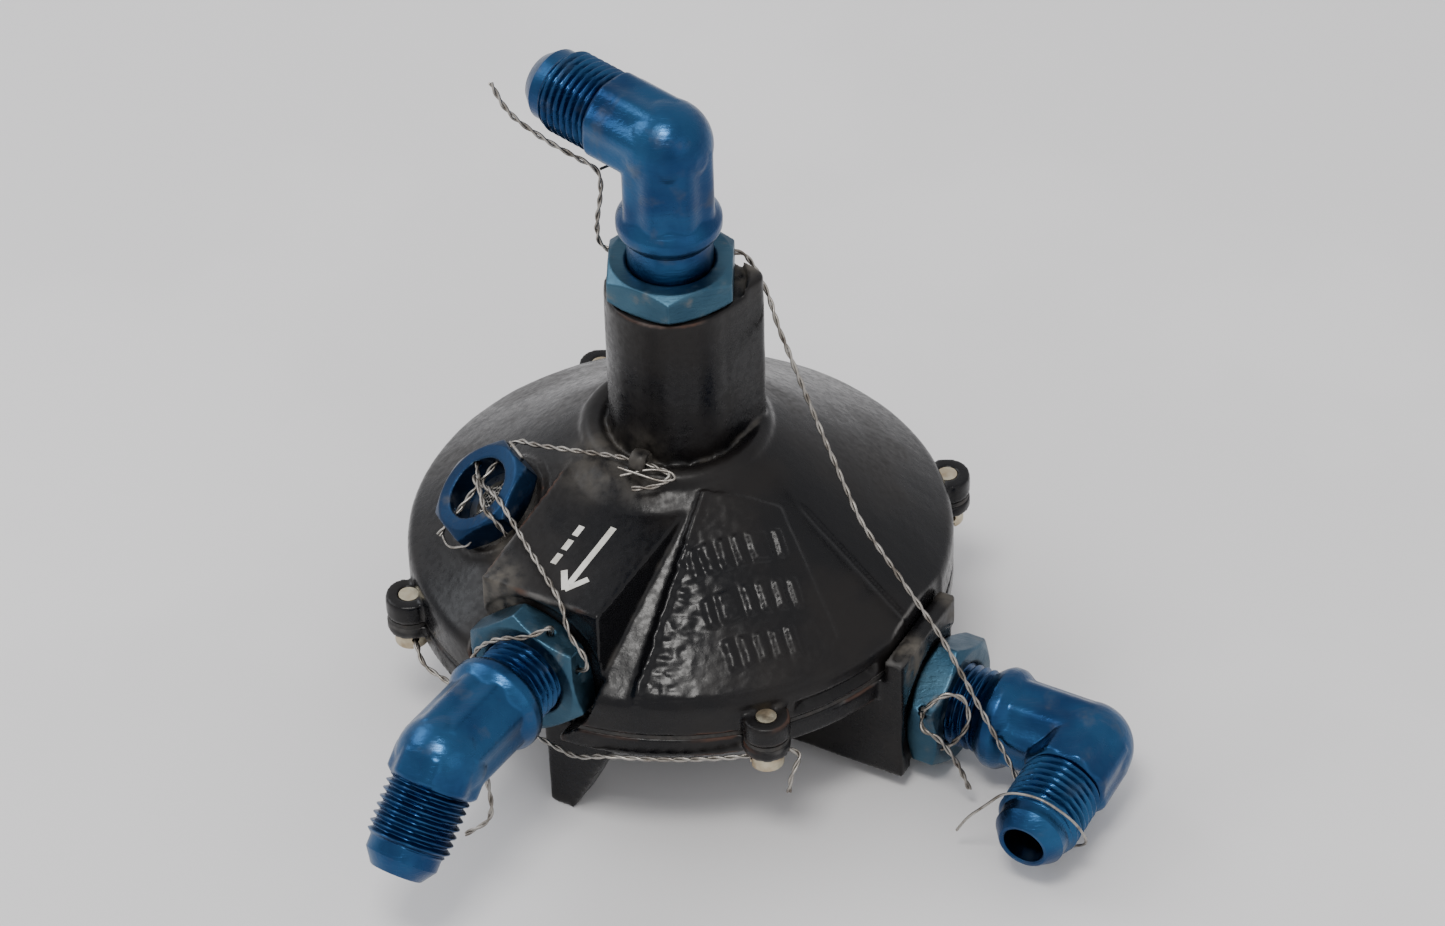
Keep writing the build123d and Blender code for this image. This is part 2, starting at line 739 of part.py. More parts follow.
def hexagon_prism(plane, across_flats, thickness, clocking):
    """Hexagon with its corners bevelled at both ends."""
    corner = across_flats / sqrt(3)
    bevel = corner - across_flats / 2 + 0.3
    rounding = turned(
        plane,
        [
            (0, 0),
            (corner - bevel, 0),
            (corner, bevel * tan(radians(30))),
            (corner, thickness - bevel * tan(radians(30))),
            (corner - bevel, thickness),
            (0, thickness),
        ],
    )
    first_corner = plane.x_dir * cos(radians(clocking)) + plane.y_dir * sin(radians(clocking))
    clocked = Plane(origin=plane.origin, x_dir=first_corner, z_dir=plane.z_dir)
    with BuildPart() as prism:
        with BuildSketch(clocked):
            RegularPolygon(radius=across_flats / 2, side_count=6, major_radius=False)
        extrude(amount=thickness)
        add(rounding, mode=Mode.INTERSECT)
    return prism.part


def make_jam_nut(name, port, clocking, wire_ends):
    """Hexagon jam nut with a recess for the backup ring, drilled where its wires end."""
    body = hexagon_prism(port, NUT_ACROSS_FLATS, NUT_THICKNESS, clocking)
    hole = THREAD_RADIUS + THREAD_FIT
    bore = turned(
        port,
        [
            (0, -1),
            (NUT_RECESS_RADIUS, -1),
            (NUT_RECESS_RADIUS, NUT_RECESS_DEPTH),
            (hole, NUT_RECESS_DEPTH),
            (hole, NUT_THICKNESS - 0.6),
            (hole + 0.6, NUT_THICKNESS),
            (hole + 0.6, NUT_THICKNESS + 1),
            (0, NUT_THICKNESS + 1),
        ],
    )
    drillings = [round_bar(start, end, WIRE_HOLE) for start, end in wire_ends]
    with BuildPart() as nut:
        add(body)
        add(bore, mode=Mode.SUBTRACT)
        for drilling in drillings:
            add(drilling, mode=Mode.SUBTRACT)
    finish(nut, name)


def make_seals(prefix, port):
    """O-ring in the port's chamfer, and the backup ring above it inside the nut."""
    with BuildPart() as o_ring:
        with BuildSketch(section_plane(port.origin, port.x_dir, port.z_dir)):
            with Locations((FITTING_NECK + SEAL_WIRE + 0.05, -0.35)):
                Circle(SEAL_WIRE)
        revolve(axis=Axis(port.origin, port.z_dir))
    finish(o_ring, f"{prefix}_port_o_ring")
    with BuildPart() as backup_ring:
        with BuildSketch(section_plane(port.origin, port.x_dir, port.z_dir)):
            with Locations((0.5 * (FITTING_NECK + NUT_RECESS_RADIUS), 1.4)):
                Rectangle(NUT_RECESS_RADIUS - FITTING_NECK - 0.1, 1.4)
        revolve(axis=Axis(port.origin, port.z_dir))
    finish(backup_ring, f"{prefix}_backup_ring")


# ---------------------------------------------------------------- vent


def make_vent():
    head_plane = VENT_PLANE.offset(VENT_WASHER)
    head = hexagon_prism(head_plane, VENT_ACROSS_FLATS, VENT_HEAD, 12)
    shank = turned(VENT_PLANE, [(0, -VENT_SHANK), (VENT_THREAD, -VENT_SHANK), (VENT_THREAD, 1), (0, 1)])
    bore = turned(
        VENT_PLANE,
        [
            (0, -VENT_SHANK - 1),
            (VENT_STEP_RADIUS, -VENT_SHANK - 1),
            (VENT_STEP_RADIUS, -VENT_STEP_DEPTH),
            (VENT_BORE, -VENT_STEP_DEPTH),
            (VENT_BORE, VENT_WASHER + VENT_HEAD + 1),
            (0, VENT_WASHER + VENT_HEAD + 1),
        ],
    )
    cross_hole = round_bar(VENT_WIRE[0], VENT_WIRE[1], WIRE_HOLE)
    side_hole = round_bar(VENT_TO_NUT_WIRE[0], VENT_TO_NUT_WIRE[1], WIRE_HOLE)
    with BuildPart() as plug:
        add(head)
        add(shank)
        for cutter in (bore, cross_hole, side_hole):
            add(cutter, mode=Mode.SUBTRACT)
    finish(plug, "vent_plug")
    with BuildPart() as washer:
        with BuildSketch(VENT_PLANE):
            Circle(8.3)
            Circle(VENT_THREAD + 0.02, mode=Mode.SUBTRACT)
        extrude(amount=VENT_WASHER)
    finish(washer, "vent_washer")
    with BuildPart() as screen:
        with BuildSketch(VENT_PLANE.offset(-VENT_STEP_DEPTH)):
            Circle(VENT_BORE - 0.02)
        extrude(amount=0.5)
    finish(screen, "vent_screen")
    with BuildPart() as ring:
        with BuildSketch(VENT_PLANE.offset(-VENT_STEP_DEPTH + 0.5)):
            Circle(VENT_BORE - 0.02)
            Circle(VENT_STEP_RADIUS, mode=Mode.SUBTRACT)
            with Locations((VENT_BORE, 0)):
                Rectangle(4, 3, mode=Mode.SUBTRACT)
        extrude(amount=0.7)
    finish(ring, "vent_screen_ring")


# ---------------------------------------------------------------- valve works


def make_diaphragm():
    middle = PARTING - DIAPHRAGM_THICKNESS / 2
    half = DIAPHRAGM_THICKNESS / 2
    big = CONVOLUTION_RADIUS + half
    small = CONVOLUTION_RADIUS - half
    nut_room = front_nut_room()
    tongue_room = front_tongue(FRONT_TONGUE_REACH, RIM_RADIUS + 2, 0.1)
    far_side = heading(SIDE_PORT_ANGLE + 90) * (SIDE_BLOCK_FAR_WIDTH + 0.4)
    with BuildPart() as diaphragm:
        with BuildSketch(Plane.XY.offset(HOUSING_TOP)):
            Circle(RIM_RADIUS - 0.3)
            with Locations(*[heading(angle) * LUG_CIRCLE for angle in LUG_ANGLES]):
                Circle(LUG_RADIUS - 0.2)
            Circle(CHAMBER_RADIUS - 0.8, mode=Mode.SUBTRACT)
            Circle(CONVOLUTION_MIDDLE - small)
            Circle(STEM_RADIUS + PLATE_GAP, mode=Mode.SUBTRACT)
            with Locations(*[heading(angle) * LUG_CIRCLE for angle in LUG_ANGLES]):
                Circle(SCREW_CLEARANCE, mode=Mode.SUBTRACT)
        extrude(amount=DIAPHRAGM_THICKNESS)
        with BuildSketch(Plane.XZ):
            with BuildLine():
                CenterArc((CONVOLUTION_MIDDLE, middle), big, 180, 180)
                Line((CONVOLUTION_MIDDLE + big, middle), (CONVOLUTION_MIDDLE + small, middle))
                CenterArc((CONVOLUTION_MIDDLE, middle), small, 180, 180)
                Line((CONVOLUTION_MIDDLE - big, middle), (CONVOLUTION_MIDDLE - small, middle))
            make_face()
        revolve(axis=Axis.Z)
        with BuildSketch(section_plane(far_side + UP * PARTING, SIDE_AXIS, UP)):
            with Locations((RIM_FLAT_REACH + 5, 0)):
                Rectangle(10, 30)
        extrude(amount=SIDE_BLOCK_NEAR_WIDTH + SIDE_BLOCK_FAR_WIDTH + 0.8, mode=Mode.SUBTRACT)
        add(nut_room, mode=Mode.SUBTRACT)
        add(tongue_room, mode=Mode.SUBTRACT)
    finish(diaphragm, "main_diaphragm")


def make_plates():
    """Two plates that stiffen the middle of the diaphragm."""
    lower_top = HOUSING_TOP - PLATE_GAP
    upper_bottom = PARTING + PLATE_GAP
    hole = STEM_RADIUS
    lower = turned(
        Plane.XY,
        [
            (hole, lower_top),
            (PLATE_RADIUS, lower_top),
            (PLATE_RADIUS, lower_top - 0.6),
            (PLATE_RADIUS - 0.6, lower_top - PLATE_THICKNESS),
            (hole, lower_top - PLATE_THICKNESS),
        ],
    )
    with BuildPart() as lower_plate:
        add(lower)
    finish(lower_plate, "diaphragm_plate_lower")
    upper = turned(
        Plane.XY,
        [
            (hole, upper_bottom),
            (PLATE_RADIUS, upper_bottom),
            (PLATE_RADIUS, upper_bottom + 2.2),
            (PLATE_RADIUS - 1.0, upper_bottom + 2.2),
            (PLATE_RADIUS - 1.4, upper_bottom + PLATE_THICKNESS),
            (hole, upper_bottom + PLATE_THICKNESS),
        ],
    )
    with BuildPart() as upper_plate:
        add(upper)
        with PolarLocations(13.0, 6):
            Cylinder(2.5, 80, mode=Mode.SUBTRACT)
    finish(upper_plate, "diaphragm_plate_upper")
    return lower_top - PLATE_THICKNESS, upper_bottom + PLATE_THICKNESS


def make_stem_group(plate_bottom, plate_top):
    seal_bottom = SEAT_TOP + SEAT_GAP
    poppet_bottom = seal_bottom + POPPET_SEAL_THICKNESS
    poppet_top = poppet_bottom + POPPET_THICKNESS
    stem_outline = [
        (0, STEM_HEAD_BOTTOM),
        (STEM_HEAD_RADIUS - 0.4, STEM_HEAD_BOTTOM),
        (STEM_HEAD_RADIUS, STEM_HEAD_BOTTOM + 0.4),
        (STEM_HEAD_RADIUS, plate_bottom),
        (STEM_RADIUS, plate_bottom),
        (STEM_RADIUS, STEM_TOP - 0.5),
        (STEM_RADIUS - 0.5, STEM_TOP),
        (0, STEM_TOP),
    ]
    stem_solid = turned(Plane.XY, stem_outline)
    with BuildPart() as stem:
        add(stem_solid)
    finish(stem, "valve_stem")
    with BuildPart() as washer:
        with BuildSketch(Plane.XY.offset(plate_top)):
            Circle(4.8)
            Circle(STEM_RADIUS, mode=Mode.SUBTRACT)
        extrude(amount=0.8)
    finish(washer, "stem_washer")
    nut_body = hexagon_prism(Plane.XY.offset(plate_top + 0.8), 8.0, 3.2, 0)
    with BuildPart() as nut:
        add(nut_body)
        with BuildSketch(Plane.XY.offset(plate_top)):
            Circle(STEM_RADIUS)
        extrude(amount=6, mode=Mode.SUBTRACT)
    finish(nut, "stem_nut")
    with BuildPart() as seal:
        with BuildSketch(Plane.XY.offset(seal_bottom)):
            Circle(POPPET_RADIUS - 0.3)
            Circle(STEM_RADIUS, mode=Mode.SUBTRACT)
        extrude(amount=POPPET_SEAL_THICKNESS)
    finish(seal, "poppet_seal")
    poppet_outline = [
        (STEM_RADIUS, poppet_bottom),
        (POPPET_RADIUS, poppet_bottom),
        (POPPET_RADIUS, poppet_top - 0.4),
        (POPPET_RADIUS - 0.4, poppet_top),
        (STEM_RADIUS + 1.0, poppet_top),
        (STEM_RADIUS + 1.0, STEM_TOP - 1.2),
        (STEM_RADIUS, STEM_TOP - 1.2),
    ]
    poppet_solid = turned(Plane.XY, poppet_outline)
    with BuildPart() as poppet:
        add(poppet_solid)
    finish(poppet, "valve_poppet")
    return poppet_top


def make_valve_body_inserts():
    """Seat, stem guide and its seal, pressed or dropped into the tower's core."""
    seat_outline = [
        (SEAT_ORIFICE, SEAT_BOTTOM),
        (GALLERY_RADIUS - 0.02, SEAT_BOTTOM),
        (GALLERY_RADIUS - 0.02, SEAT_LEDGE),
        (VALVE_CHAMBER_RADIUS - 0.02, SEAT_LEDGE),
        (VALVE_CHAMBER_RADIUS - 0.02, SEAT_TOP - 0.6),
        (SEAT_ORIFICE + 1.2, SEAT_TOP - 0.6),
        (SEAT_ORIFICE + 0.5, SEAT_TOP),
        (SEAT_ORIFICE, SEAT_TOP),
    ]
    seat_solid = turned(Plane.XY, seat_outline)
    with BuildPart() as seat:
        add(seat_solid)
    finish(seat, "valve_seat")
    bore = STEM_RADIUS + RUNNING_CLEARANCE
    groove_radius = bore + 1.35
    groove_low = WEB_BOTTOM + 3.0
    groove_high = groove_low + 1.6
    guide_outline = [
        (bore, WEB_BOTTOM - 1.2),
        (GUIDE_FLANGE_RADIUS, WEB_BOTTOM - 1.2),
        (GUIDE_FLANGE_RADIUS, WEB_BOTTOM),
        (GUIDE_RADIUS - 0.02, WEB_BOTTOM),
        (GUIDE_RADIUS - 0.02, GALLERY_BOTTOM),
        (bore, GALLERY_BOTTOM),
        (bore, groove_high),
        (groove_radius, groove_high),
        (groove_radius, groove_low),
        (bore, groove_low),
    ]
    guide_solid = turned(Plane.XY, guide_outline)
    with BuildPart() as guide:
        add(guide_solid)
    finish(guide, "stem_guide")
    with BuildPart() as seal:
        with BuildSketch(Plane.XZ):
            with Locations((bore + 0.62, 0.5 * (groove_low + groove_high))):
                Circle(0.6)
        revolve(axis=Axis.Z)
    finish(seal, "stem_o_ring")


def make_spring_group(poppet_top):
    low = poppet_top + SPRING_WIRE + 0.05
    high = RETAINER_BOTTOM - SPRING_WIRE - 0.05
    with BuildPart() as spring:
        with BuildLine():
            coil = Helix((high - low) / SPRING_TURNS, high - low, SPRING_RADIUS, center=(0, 0, low))
        with BuildSketch(Plane(origin=coil @ 0, z_dir=coil % 0)):
            Circle(SPRING_WIRE)
        sweep(path=coil)
    finish(spring, "return_spring")
    with BuildPart() as retainer:
        with BuildSketch(Plane.XY.offset(RETAINER_BOTTOM)):
            Circle(VALVE_CHAMBER_RADIUS - 0.05)
            Circle(1.4, mode=Mode.SUBTRACT)
            with PolarLocations(3.3, 4):
                Circle(0.9, mode=Mode.SUBTRACT)
        extrude(amount=RETAINER_THICKNESS)
    finish(retainer, "spring_retainer")
    with BuildPart() as ring:
        with BuildSketch(Plane.XY.offset(RETAINER_BOTTOM + RETAINER_THICKNESS)):
            Circle(VALVE_CHAMBER_RADIUS - 0.02)
            Circle(VALVE_CHAMBER_RADIUS - 1.3, mode=Mode.SUBTRACT)
            with Locations((VALVE_CHAMBER_RADIUS, 0)):
                Rectangle(4, 3, mode=Mode.SUBTRACT)
        extrude(amount=RETAINING_RING)
    finish(ring, "retaining_ring")


# ---------------------------------------------------------------- lockwire


def make_lockwire(name, points):
    """Twisted wire as one round bar that follows its points with rounded corners."""
    with BuildPart() as wire:
        with BuildLine() as path:
            reached = points[0]
            for before, corner, after in zip(points, points[1:], points[2:]):
                arrive = (corner - before).normalized()
                leave = (after - corner).normalized()
                shorter = min((corner - before).length, (after - corner).length)
                back = min(0.45 * shorter, WIRE_BEND)
                half_turn = radians(arrive.get_angle(leave) / 2)
                radius = back / tan(half_turn)
                inward = (leave - arrive).normalized() * (radius / cos(half_turn) - radius)
                Line(reached, corner - arrive * back)
                ThreePointArc(corner - arrive * back, corner + inward, corner + leave * back)
                reached = corner + leave * back
            Line(reached, points[-1])
        with BuildSketch(Plane(origin=path.line @ 0, z_dir=path.line % 0)):
            Circle(WIRE_RADIUS)
        sweep(path=path.line)
    finish(wire, name)


def main():
    os.makedirs("parts", exist_ok=True)
    make_upper_cover()
    make_lower_housing()
    make_flange_screws()
    make_elbow("top_elbow", TOP_PORT, 90, TOP_OUTLET_LEG)
    make_elbow("front_elbow", FRONT_PORT, 45, FRONT_OUTLET_LEG)
    make_elbow("side_elbow", SIDE_PORT, 90, SIDE_OUTLET_LEG)
    make_jam_nut("top_jam_nut", TOP_PORT, 10.5, [TOP_NUT_WIRE[:2], TOP_TO_SIDE_WIRE[:2]])
    front_wires = [VENT_TO_NUT_WIRE[:-3:-1], FRONT_NUT_WIRE[:2]]
    make_jam_nut("front_jam_nut", FRONT_PORT, 10, front_wires)
    make_jam_nut("side_jam_nut", SIDE_PORT, 28, [SIDE_NUT_WIRE[5:7], SIDE_NUT_WIRE[6:8]])
    make_seals("top", TOP_PORT)
    make_seals("front", FRONT_PORT)
    make_seals("side", SIDE_PORT)
    make_vent()
    make_diaphragm()
    plate_bottom, plate_top = make_plates()
    poppet_top = make_stem_group(plate_bottom, plate_top)
    make_valve_body_inserts()
    make_spring_group(poppet_top)
    make_lockwire("lockwire_flange", FLANGE_WIRE)
    make_lockwire("lockwire_vent", VENT_WIRE)
    make_lockwire("lockwire_vent_to_nut", VENT_TO_NUT_WIRE)
    make_lockwire("lockwire_front_nut", FRONT_NUT_WIRE)
    make_lockwire("lockwire_top_nut", TOP_NUT_WIRE)
    make_lockwire("lockwire_top_to_side", TOP_TO_SIDE_WIRE)
    make_lockwire("lockwire_side_nut", SIDE_NUT_WIRE)


main()
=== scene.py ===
import json
import math
import random

import bmesh
import bpy
import numpy as np
from mathutils import Matrix, Vector, noise
from mathutils.bvhtree import BVHTree


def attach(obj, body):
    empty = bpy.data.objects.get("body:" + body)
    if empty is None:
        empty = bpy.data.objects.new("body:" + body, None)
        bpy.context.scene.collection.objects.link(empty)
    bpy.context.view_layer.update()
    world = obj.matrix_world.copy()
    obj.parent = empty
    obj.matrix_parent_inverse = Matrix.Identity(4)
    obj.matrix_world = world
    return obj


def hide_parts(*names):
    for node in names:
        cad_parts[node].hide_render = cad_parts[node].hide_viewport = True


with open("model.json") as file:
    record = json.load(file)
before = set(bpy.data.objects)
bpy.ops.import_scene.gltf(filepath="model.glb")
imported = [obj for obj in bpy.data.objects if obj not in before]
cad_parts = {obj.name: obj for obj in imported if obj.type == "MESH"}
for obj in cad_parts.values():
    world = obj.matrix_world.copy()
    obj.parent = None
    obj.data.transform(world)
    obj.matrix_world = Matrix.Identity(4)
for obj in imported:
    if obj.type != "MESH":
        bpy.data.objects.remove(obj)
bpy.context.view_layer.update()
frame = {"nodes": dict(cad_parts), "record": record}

MM = 0.001
UP = Vector((0, 0, 1))
BODY = "valve_body"
nodes = frame["nodes"]

# ---- sizes repeated from the part's source, in millimetres ----
RIM_RADIUS = 46.5
RIM_TOP = 31.3
CONE_TOP_RADIUS = 15.9
CONE_TOP = 53.5
CONE_SLOPE = (CONE_TOP - RIM_TOP) / (RIM_RADIUS - CONE_TOP_RADIUS)
PARTING = 25.0
TOWER_TOP = 83.3
THREAD_RADIUS = 7.14
THREAD_PITCH = 1.411
THREAD_DEPTH = 0.82
FITTING_BORE = 3.6
FITTING_NECK = 6.3
FITTING_LEG = 7.6
COLLAR_RADIUS = 8.8
COLLAR_PLACE = 13.6
BOSS_END = 8.0
CORNER_REACH = 28.9
FLARE_TIP_RADIUS = 4.4
FLARE_BASE_RADIUS = 6.2
FLARE_CONE = 2.4
FLARE_NOSE = 4.8
FLARE_THREAD = 10.0
TOP_OUTLET_ANGLE = 136.5
TOP_OUTLET_LEG = 27.3
FRONT_PORT_ANGLE = 235.5
FRONT_PORT_HEIGHT = 32.4
FRONT_PORT_REACH = 41.0
FRONT_OUTLET_LEG = 20.0
SIDE_PORT_ANGLE = -29.5
SIDE_PORT_HEIGHT = 11.95
SIDE_PORT_REACH = 48.2
SIDE_OUTLET_RISE = -4.0
SIDE_OUTLET_LEG = 24.8
VENT_ANGLE = 194.0
VENT_TILT = 37.0
VENT_CIRCLE = 31.2
VENT_HEIGHT = 43.2
VENT_BORE = 5.8

# ---- lockwire: two twisted strands ----
STRAND_RADIUS = 0.24
TWIST_PITCH = 5.6
WIRE_BEND = 3.2

# ---- camera, fitted to the rim, the fittings and the feet; lengths in millimetres, angles in degrees ----
CAMERA_DISTANCE = 963.5
CAMERA_ELEVATION = 40.63
CAMERA_ROLL = -1.76
CAMERA_LENS = 141.07
SENSOR_WIDTH = 36
RIM_RIGHT = -7.18   # the middle of the rim is left of the middle of the picture
RIM_UP = -10.11   # and below it
FLOOR_HALF = 3.0   # metres

# ---- size of the small faces that each remeshed piece is made of, in millimetres ----
COVER_VOXEL = 0.46
HOUSING_VOXEL = 0.5
FORGING_VOXEL = 0.26
BORE_VOXEL = 0.25
NUT_VOXEL = 0.24

# ---- details that only this model has, in millimetres and degrees ----
FLAT_DEPTH = 0.040   # of a forged leg's radius
DOME_RADIUS = FITTING_LEG * 1.02
PARTING_LINE_REACH = 7.16
PARTING_LINE_RADIUS = 0.42
NECK_START = 2.6
NECK_END = COLLAR_PLACE - 2.9
RIDGE_HEIGHT = 0.55
BAR_HEIGHT = 0.48
BAR_GAP = 1.3
BAR_HALF_LENGTH = 2.3
INDEX_LINE_ANGLE = -35.5
INDEX_LINE_DEPTH = 0.35
INDEX_LINE_HALF_WIDTH = 0.42
GROOVE_DEPTH = 1.5
PAINT_WIDTH = 1.1
ARROW_SIDE = 3.4
DASH_SIDE = -1.6


def heading(angle, rise=0.0):
    """Unit vector at a plan angle, lifted by a rise angle, both in degrees."""
    flat = math.cos(math.radians(rise))
    turn = math.radians(angle)
    return Vector((math.cos(turn) * flat, math.sin(turn) * flat, math.sin(math.radians(rise))))


def placed(origin, x_way, z_way):
    """Matrix that takes a piece's own coordinates to its place."""
    y_way = z_way.cross(x_way)
    place = Matrix((x_way, y_way, z_way)).transposed().to_4x4()
    place.translation = origin
    return place


FRONT_AXIS = heading(FRONT_PORT_ANGLE)
FRONT_SIDE = heading(FRONT_PORT_ANGLE + 90)
SIDE_AXIS = heading(SIDE_PORT_ANGLE)
SIDE_OUTLET = heading(SIDE_PORT_ANGLE - 90, SIDE_OUTLET_RISE)
VENT_AXIS = heading(VENT_ANGLE, 90 - VENT_TILT)
VENT_ACROSS = heading(VENT_ANGLE + 90)
VENT_ORIGIN = heading(VENT_ANGLE) * VENT_CIRCLE + UP * VENT_HEIGHT
TOP_PORT = placed(UP * TOWER_TOP, heading(TOP_OUTLET_ANGLE), UP)
FRONT_PORT = placed(FRONT_AXIS * FRONT_PORT_REACH + UP * FRONT_PORT_HEIGHT, -UP, FRONT_AXIS)
SIDE_PORT = placed(SIDE_AXIS * SIDE_PORT_REACH + UP * SIDE_PORT_HEIGHT, SIDE_OUTLET, SIDE_AXIS)


def around(angle, radius, height):
    return heading(angle) * radius + UP * height


def at_front(reach, side, height):
    return FRONT_AXIS * reach + FRONT_SIDE * side + UP * height


def at_side(reach, side, height):
    return SIDE_AXIS * reach + heading(SIDE_PORT_ANGLE - 90) * side + UP * height


def at_vent(radius, angle, height):
    turn = math.radians(angle)
    flat = VENT_ACROSS * math.cos(turn) + VENT_AXIS.cross(VENT_ACROSS) * math.sin(turn)
    return VENT_ORIGIN + flat * radius + VENT_AXIS * height


def at_side_outlet(along, away, above):
    bend = SIDE_AXIS * (SIDE_PORT_REACH + CORNER_REACH) + UP * SIDE_PORT_HEIGHT
    return bend + SIDE_OUTLET * along + SIDE_AXIS * away + SIDE_AXIS.cross(SIDE_OUTLET) * -above


# ---- lockwire runs, the same points as in the part's source ----
FLANGE_WIRE = [
    around(191.5, 48.3, 20.8),
    around(200, 48.1, 20.7),
    around(205, 48.8, 19.2),
    around(227, 44.2, 17.0),
    around(247, 46.6, 17.6),
    around(253, 47.5, 20.4),
    around(262, 47.5, 20.8),
    around(271, 47.5, 20.8),
    around(282, 48.2, 20.8),
    around(290.4, 48.2, 20.8),
    around(292.5, 50.0, 20.0),
    around(289.5, 51.8, 18.0),
    around(289, 51.6, 14.0),
]
VENT_WIRE = [
    at_vent(10.6, 276, 3.9),
    at_vent(10.6, 124, 3.9),
    Vector((-24.0, -4.0, 53.0)),
    Vector((-8.9, -11.96, 56.5)),
    Vector((-3.9, -14.3, 56.5)),
    Vector((-0.6, -16.4, 55.9)),
    Vector((-3.4, -18.0, 55.0)),
    Vector((-7.6, -17.6, 54.4)),
]
VENT_TO_NUT_WIRE = [
    at_vent(8.2, 168, 4.8),
    at_vent(2.0, 173, 5.2),
    at_vent(7.5, 28, 7.2),
    at_front(41.9, 5.2, 47.4),
    at_front(44.0, 7.6, 43.4),
    at_front(44.4, 11.2, 40.2),
    at_front(44.4, 11.6, 37.6),
    at_front(44.4, 9.0, 36.4),
]
FRONT_NUT_WIRE = [
    at_front(43.6, 3.6, 40.6),
    at_front(44.6, 5.2, 44.6),
    at_front(47.8, 2.5, 43.0),
    at_front(48.7, -3.5, 40.7),
    at_front(48.8, -8.6, 35.5),
    at_front(49.4, -8.6, 29.0),
    at_front(52.0, -5.5, 21.5),
    at_front(56.0, -2.0, 17.0),
    at_front(58.0, 0.5, 12.0),
    at_front(58.0, -0.5, 8.0),
    at_front(60.0, -4.0, 5.0),
]
TOP_NUT_WIRE = [
    around(150, 8.6, 86.2),
    around(154, 13.0, 87.2),
    Vector((-12.0, 5.5, 92.0)),
    Vector((-11.0, 6.0, 98.0)),
    Vector((-11.0, 7.0, 102.0)),
    Vector((-19.5, 8.0, 107.5)),
    Vector((-25.6, 8.0, 113.4)),
    Vector((-28.0, 8.0, 119.6)),
]
TOP_TO_SIDE_WIRE = [
    Vector((8.0, 3.4, 86.4)),
    Vector((11.6, 4.6, 86.3)),
    Vector((13.4, 5.3, 83.0)),
    Vector((15.9, 3.0, 78.4)),
    Vector((17.2, -0.8, 74.8)),
    Vector((23.4, -8.8, 60.0)),
    Vector((30.0, -18.5, 46.5)),
    Vector((43.0, -29.5, 30.0)),
    at_side_outlet(9.5, -9.1, -0.8),
    at_side_outlet(12.0, -5.0, -7.9),
    at_side_outlet(15.0, 3.0, -8.6),
    at_side_outlet(18.0, 8.9, -2.0),
    at_side_outlet(20.0, 7.3, 4.8),
    at_side_outlet(20.4, 1.0, 8.2),
    at_side_outlet(20.6, -5.2, 6.8),
    at_side_outlet(20.9, -8.6, 2.2),
    at_side_outlet(21.2, -12.0, -2.0),
    at_side_outlet(21.4, -14.0, -6.0),
]
SIDE_NUT_WIRE = [
    at_side(54.8, 9.8, 10.2),
    at_side(57.5, 10.4, 13.3),
    at_side(59.6, 8.9, 17.3),
    at_side(58.0, 7.6, 21.3),
    at_side(55.0, 9.4, 22.6),
    at_side(52.6, 12.4, 20.2),
    at_side(51.0, 9.4, 17.2),
    at_side(52.4, 13.0, 16.2),
    at_side(55.2, 12.6, 15.4),
    at_side(57.8, 12.0, 11.8),
    at_side(59.5, 11.5, 7.8),
    at_side(60.5, 11.0, 4.3),
]


# ---------------------------------------------------------------- camera, light and floor


def make_camera():
    """Camera that looks along +Y from above, slightly rolled, at the photograph's angle."""
    elevation = math.radians(CAMERA_ELEVATION)
    roll = math.radians(CAMERA_ROLL)
    ahead = Vector((0, math.cos(elevation), -math.sin(elevation)))
    level = Vector((1, 0, 0))
    above = level.cross(ahead)
    right = level * math.cos(roll) + above * math.sin(roll)
    top = above * math.cos(roll) - level * math.sin(roll)
    place = UP * RIM_TOP - ahead * CAMERA_DISTANCE - right * RIM_RIGHT - top * RIM_UP
    lens = bpy.data.cameras.new("camera")
    lens.sensor_width = SENSOR_WIDTH
    lens.lens = CAMERA_LENS
    lens.clip_start = 0.01
    camera = bpy.data.objects.new("camera", lens)
    turn = Matrix((right, top, -ahead)).transposed().to_4x4()
    turn.translation = place * MM
    camera.matrix_world = turn
    bpy.context.scene.collection.objects.link(camera)
    bpy.context.scene.camera = camera


def make_light(name, place, target, size, power, colour=(1, 1, 1)):
    lamp = bpy.data.lights.new(name, "AREA")
    lamp.shape = "RECTANGLE"
    lamp.size, lamp.size_y = size
    lamp.energy = power
    lamp.color = colour
    light = bpy.data.objects.new(name, lamp)
    light.location = place
    light.rotation_euler = (Vector(target) - Vector(place)).to_track_quat("-Z", "Y").to_euler()
    bpy.context.scene.collection.objects.link(light)


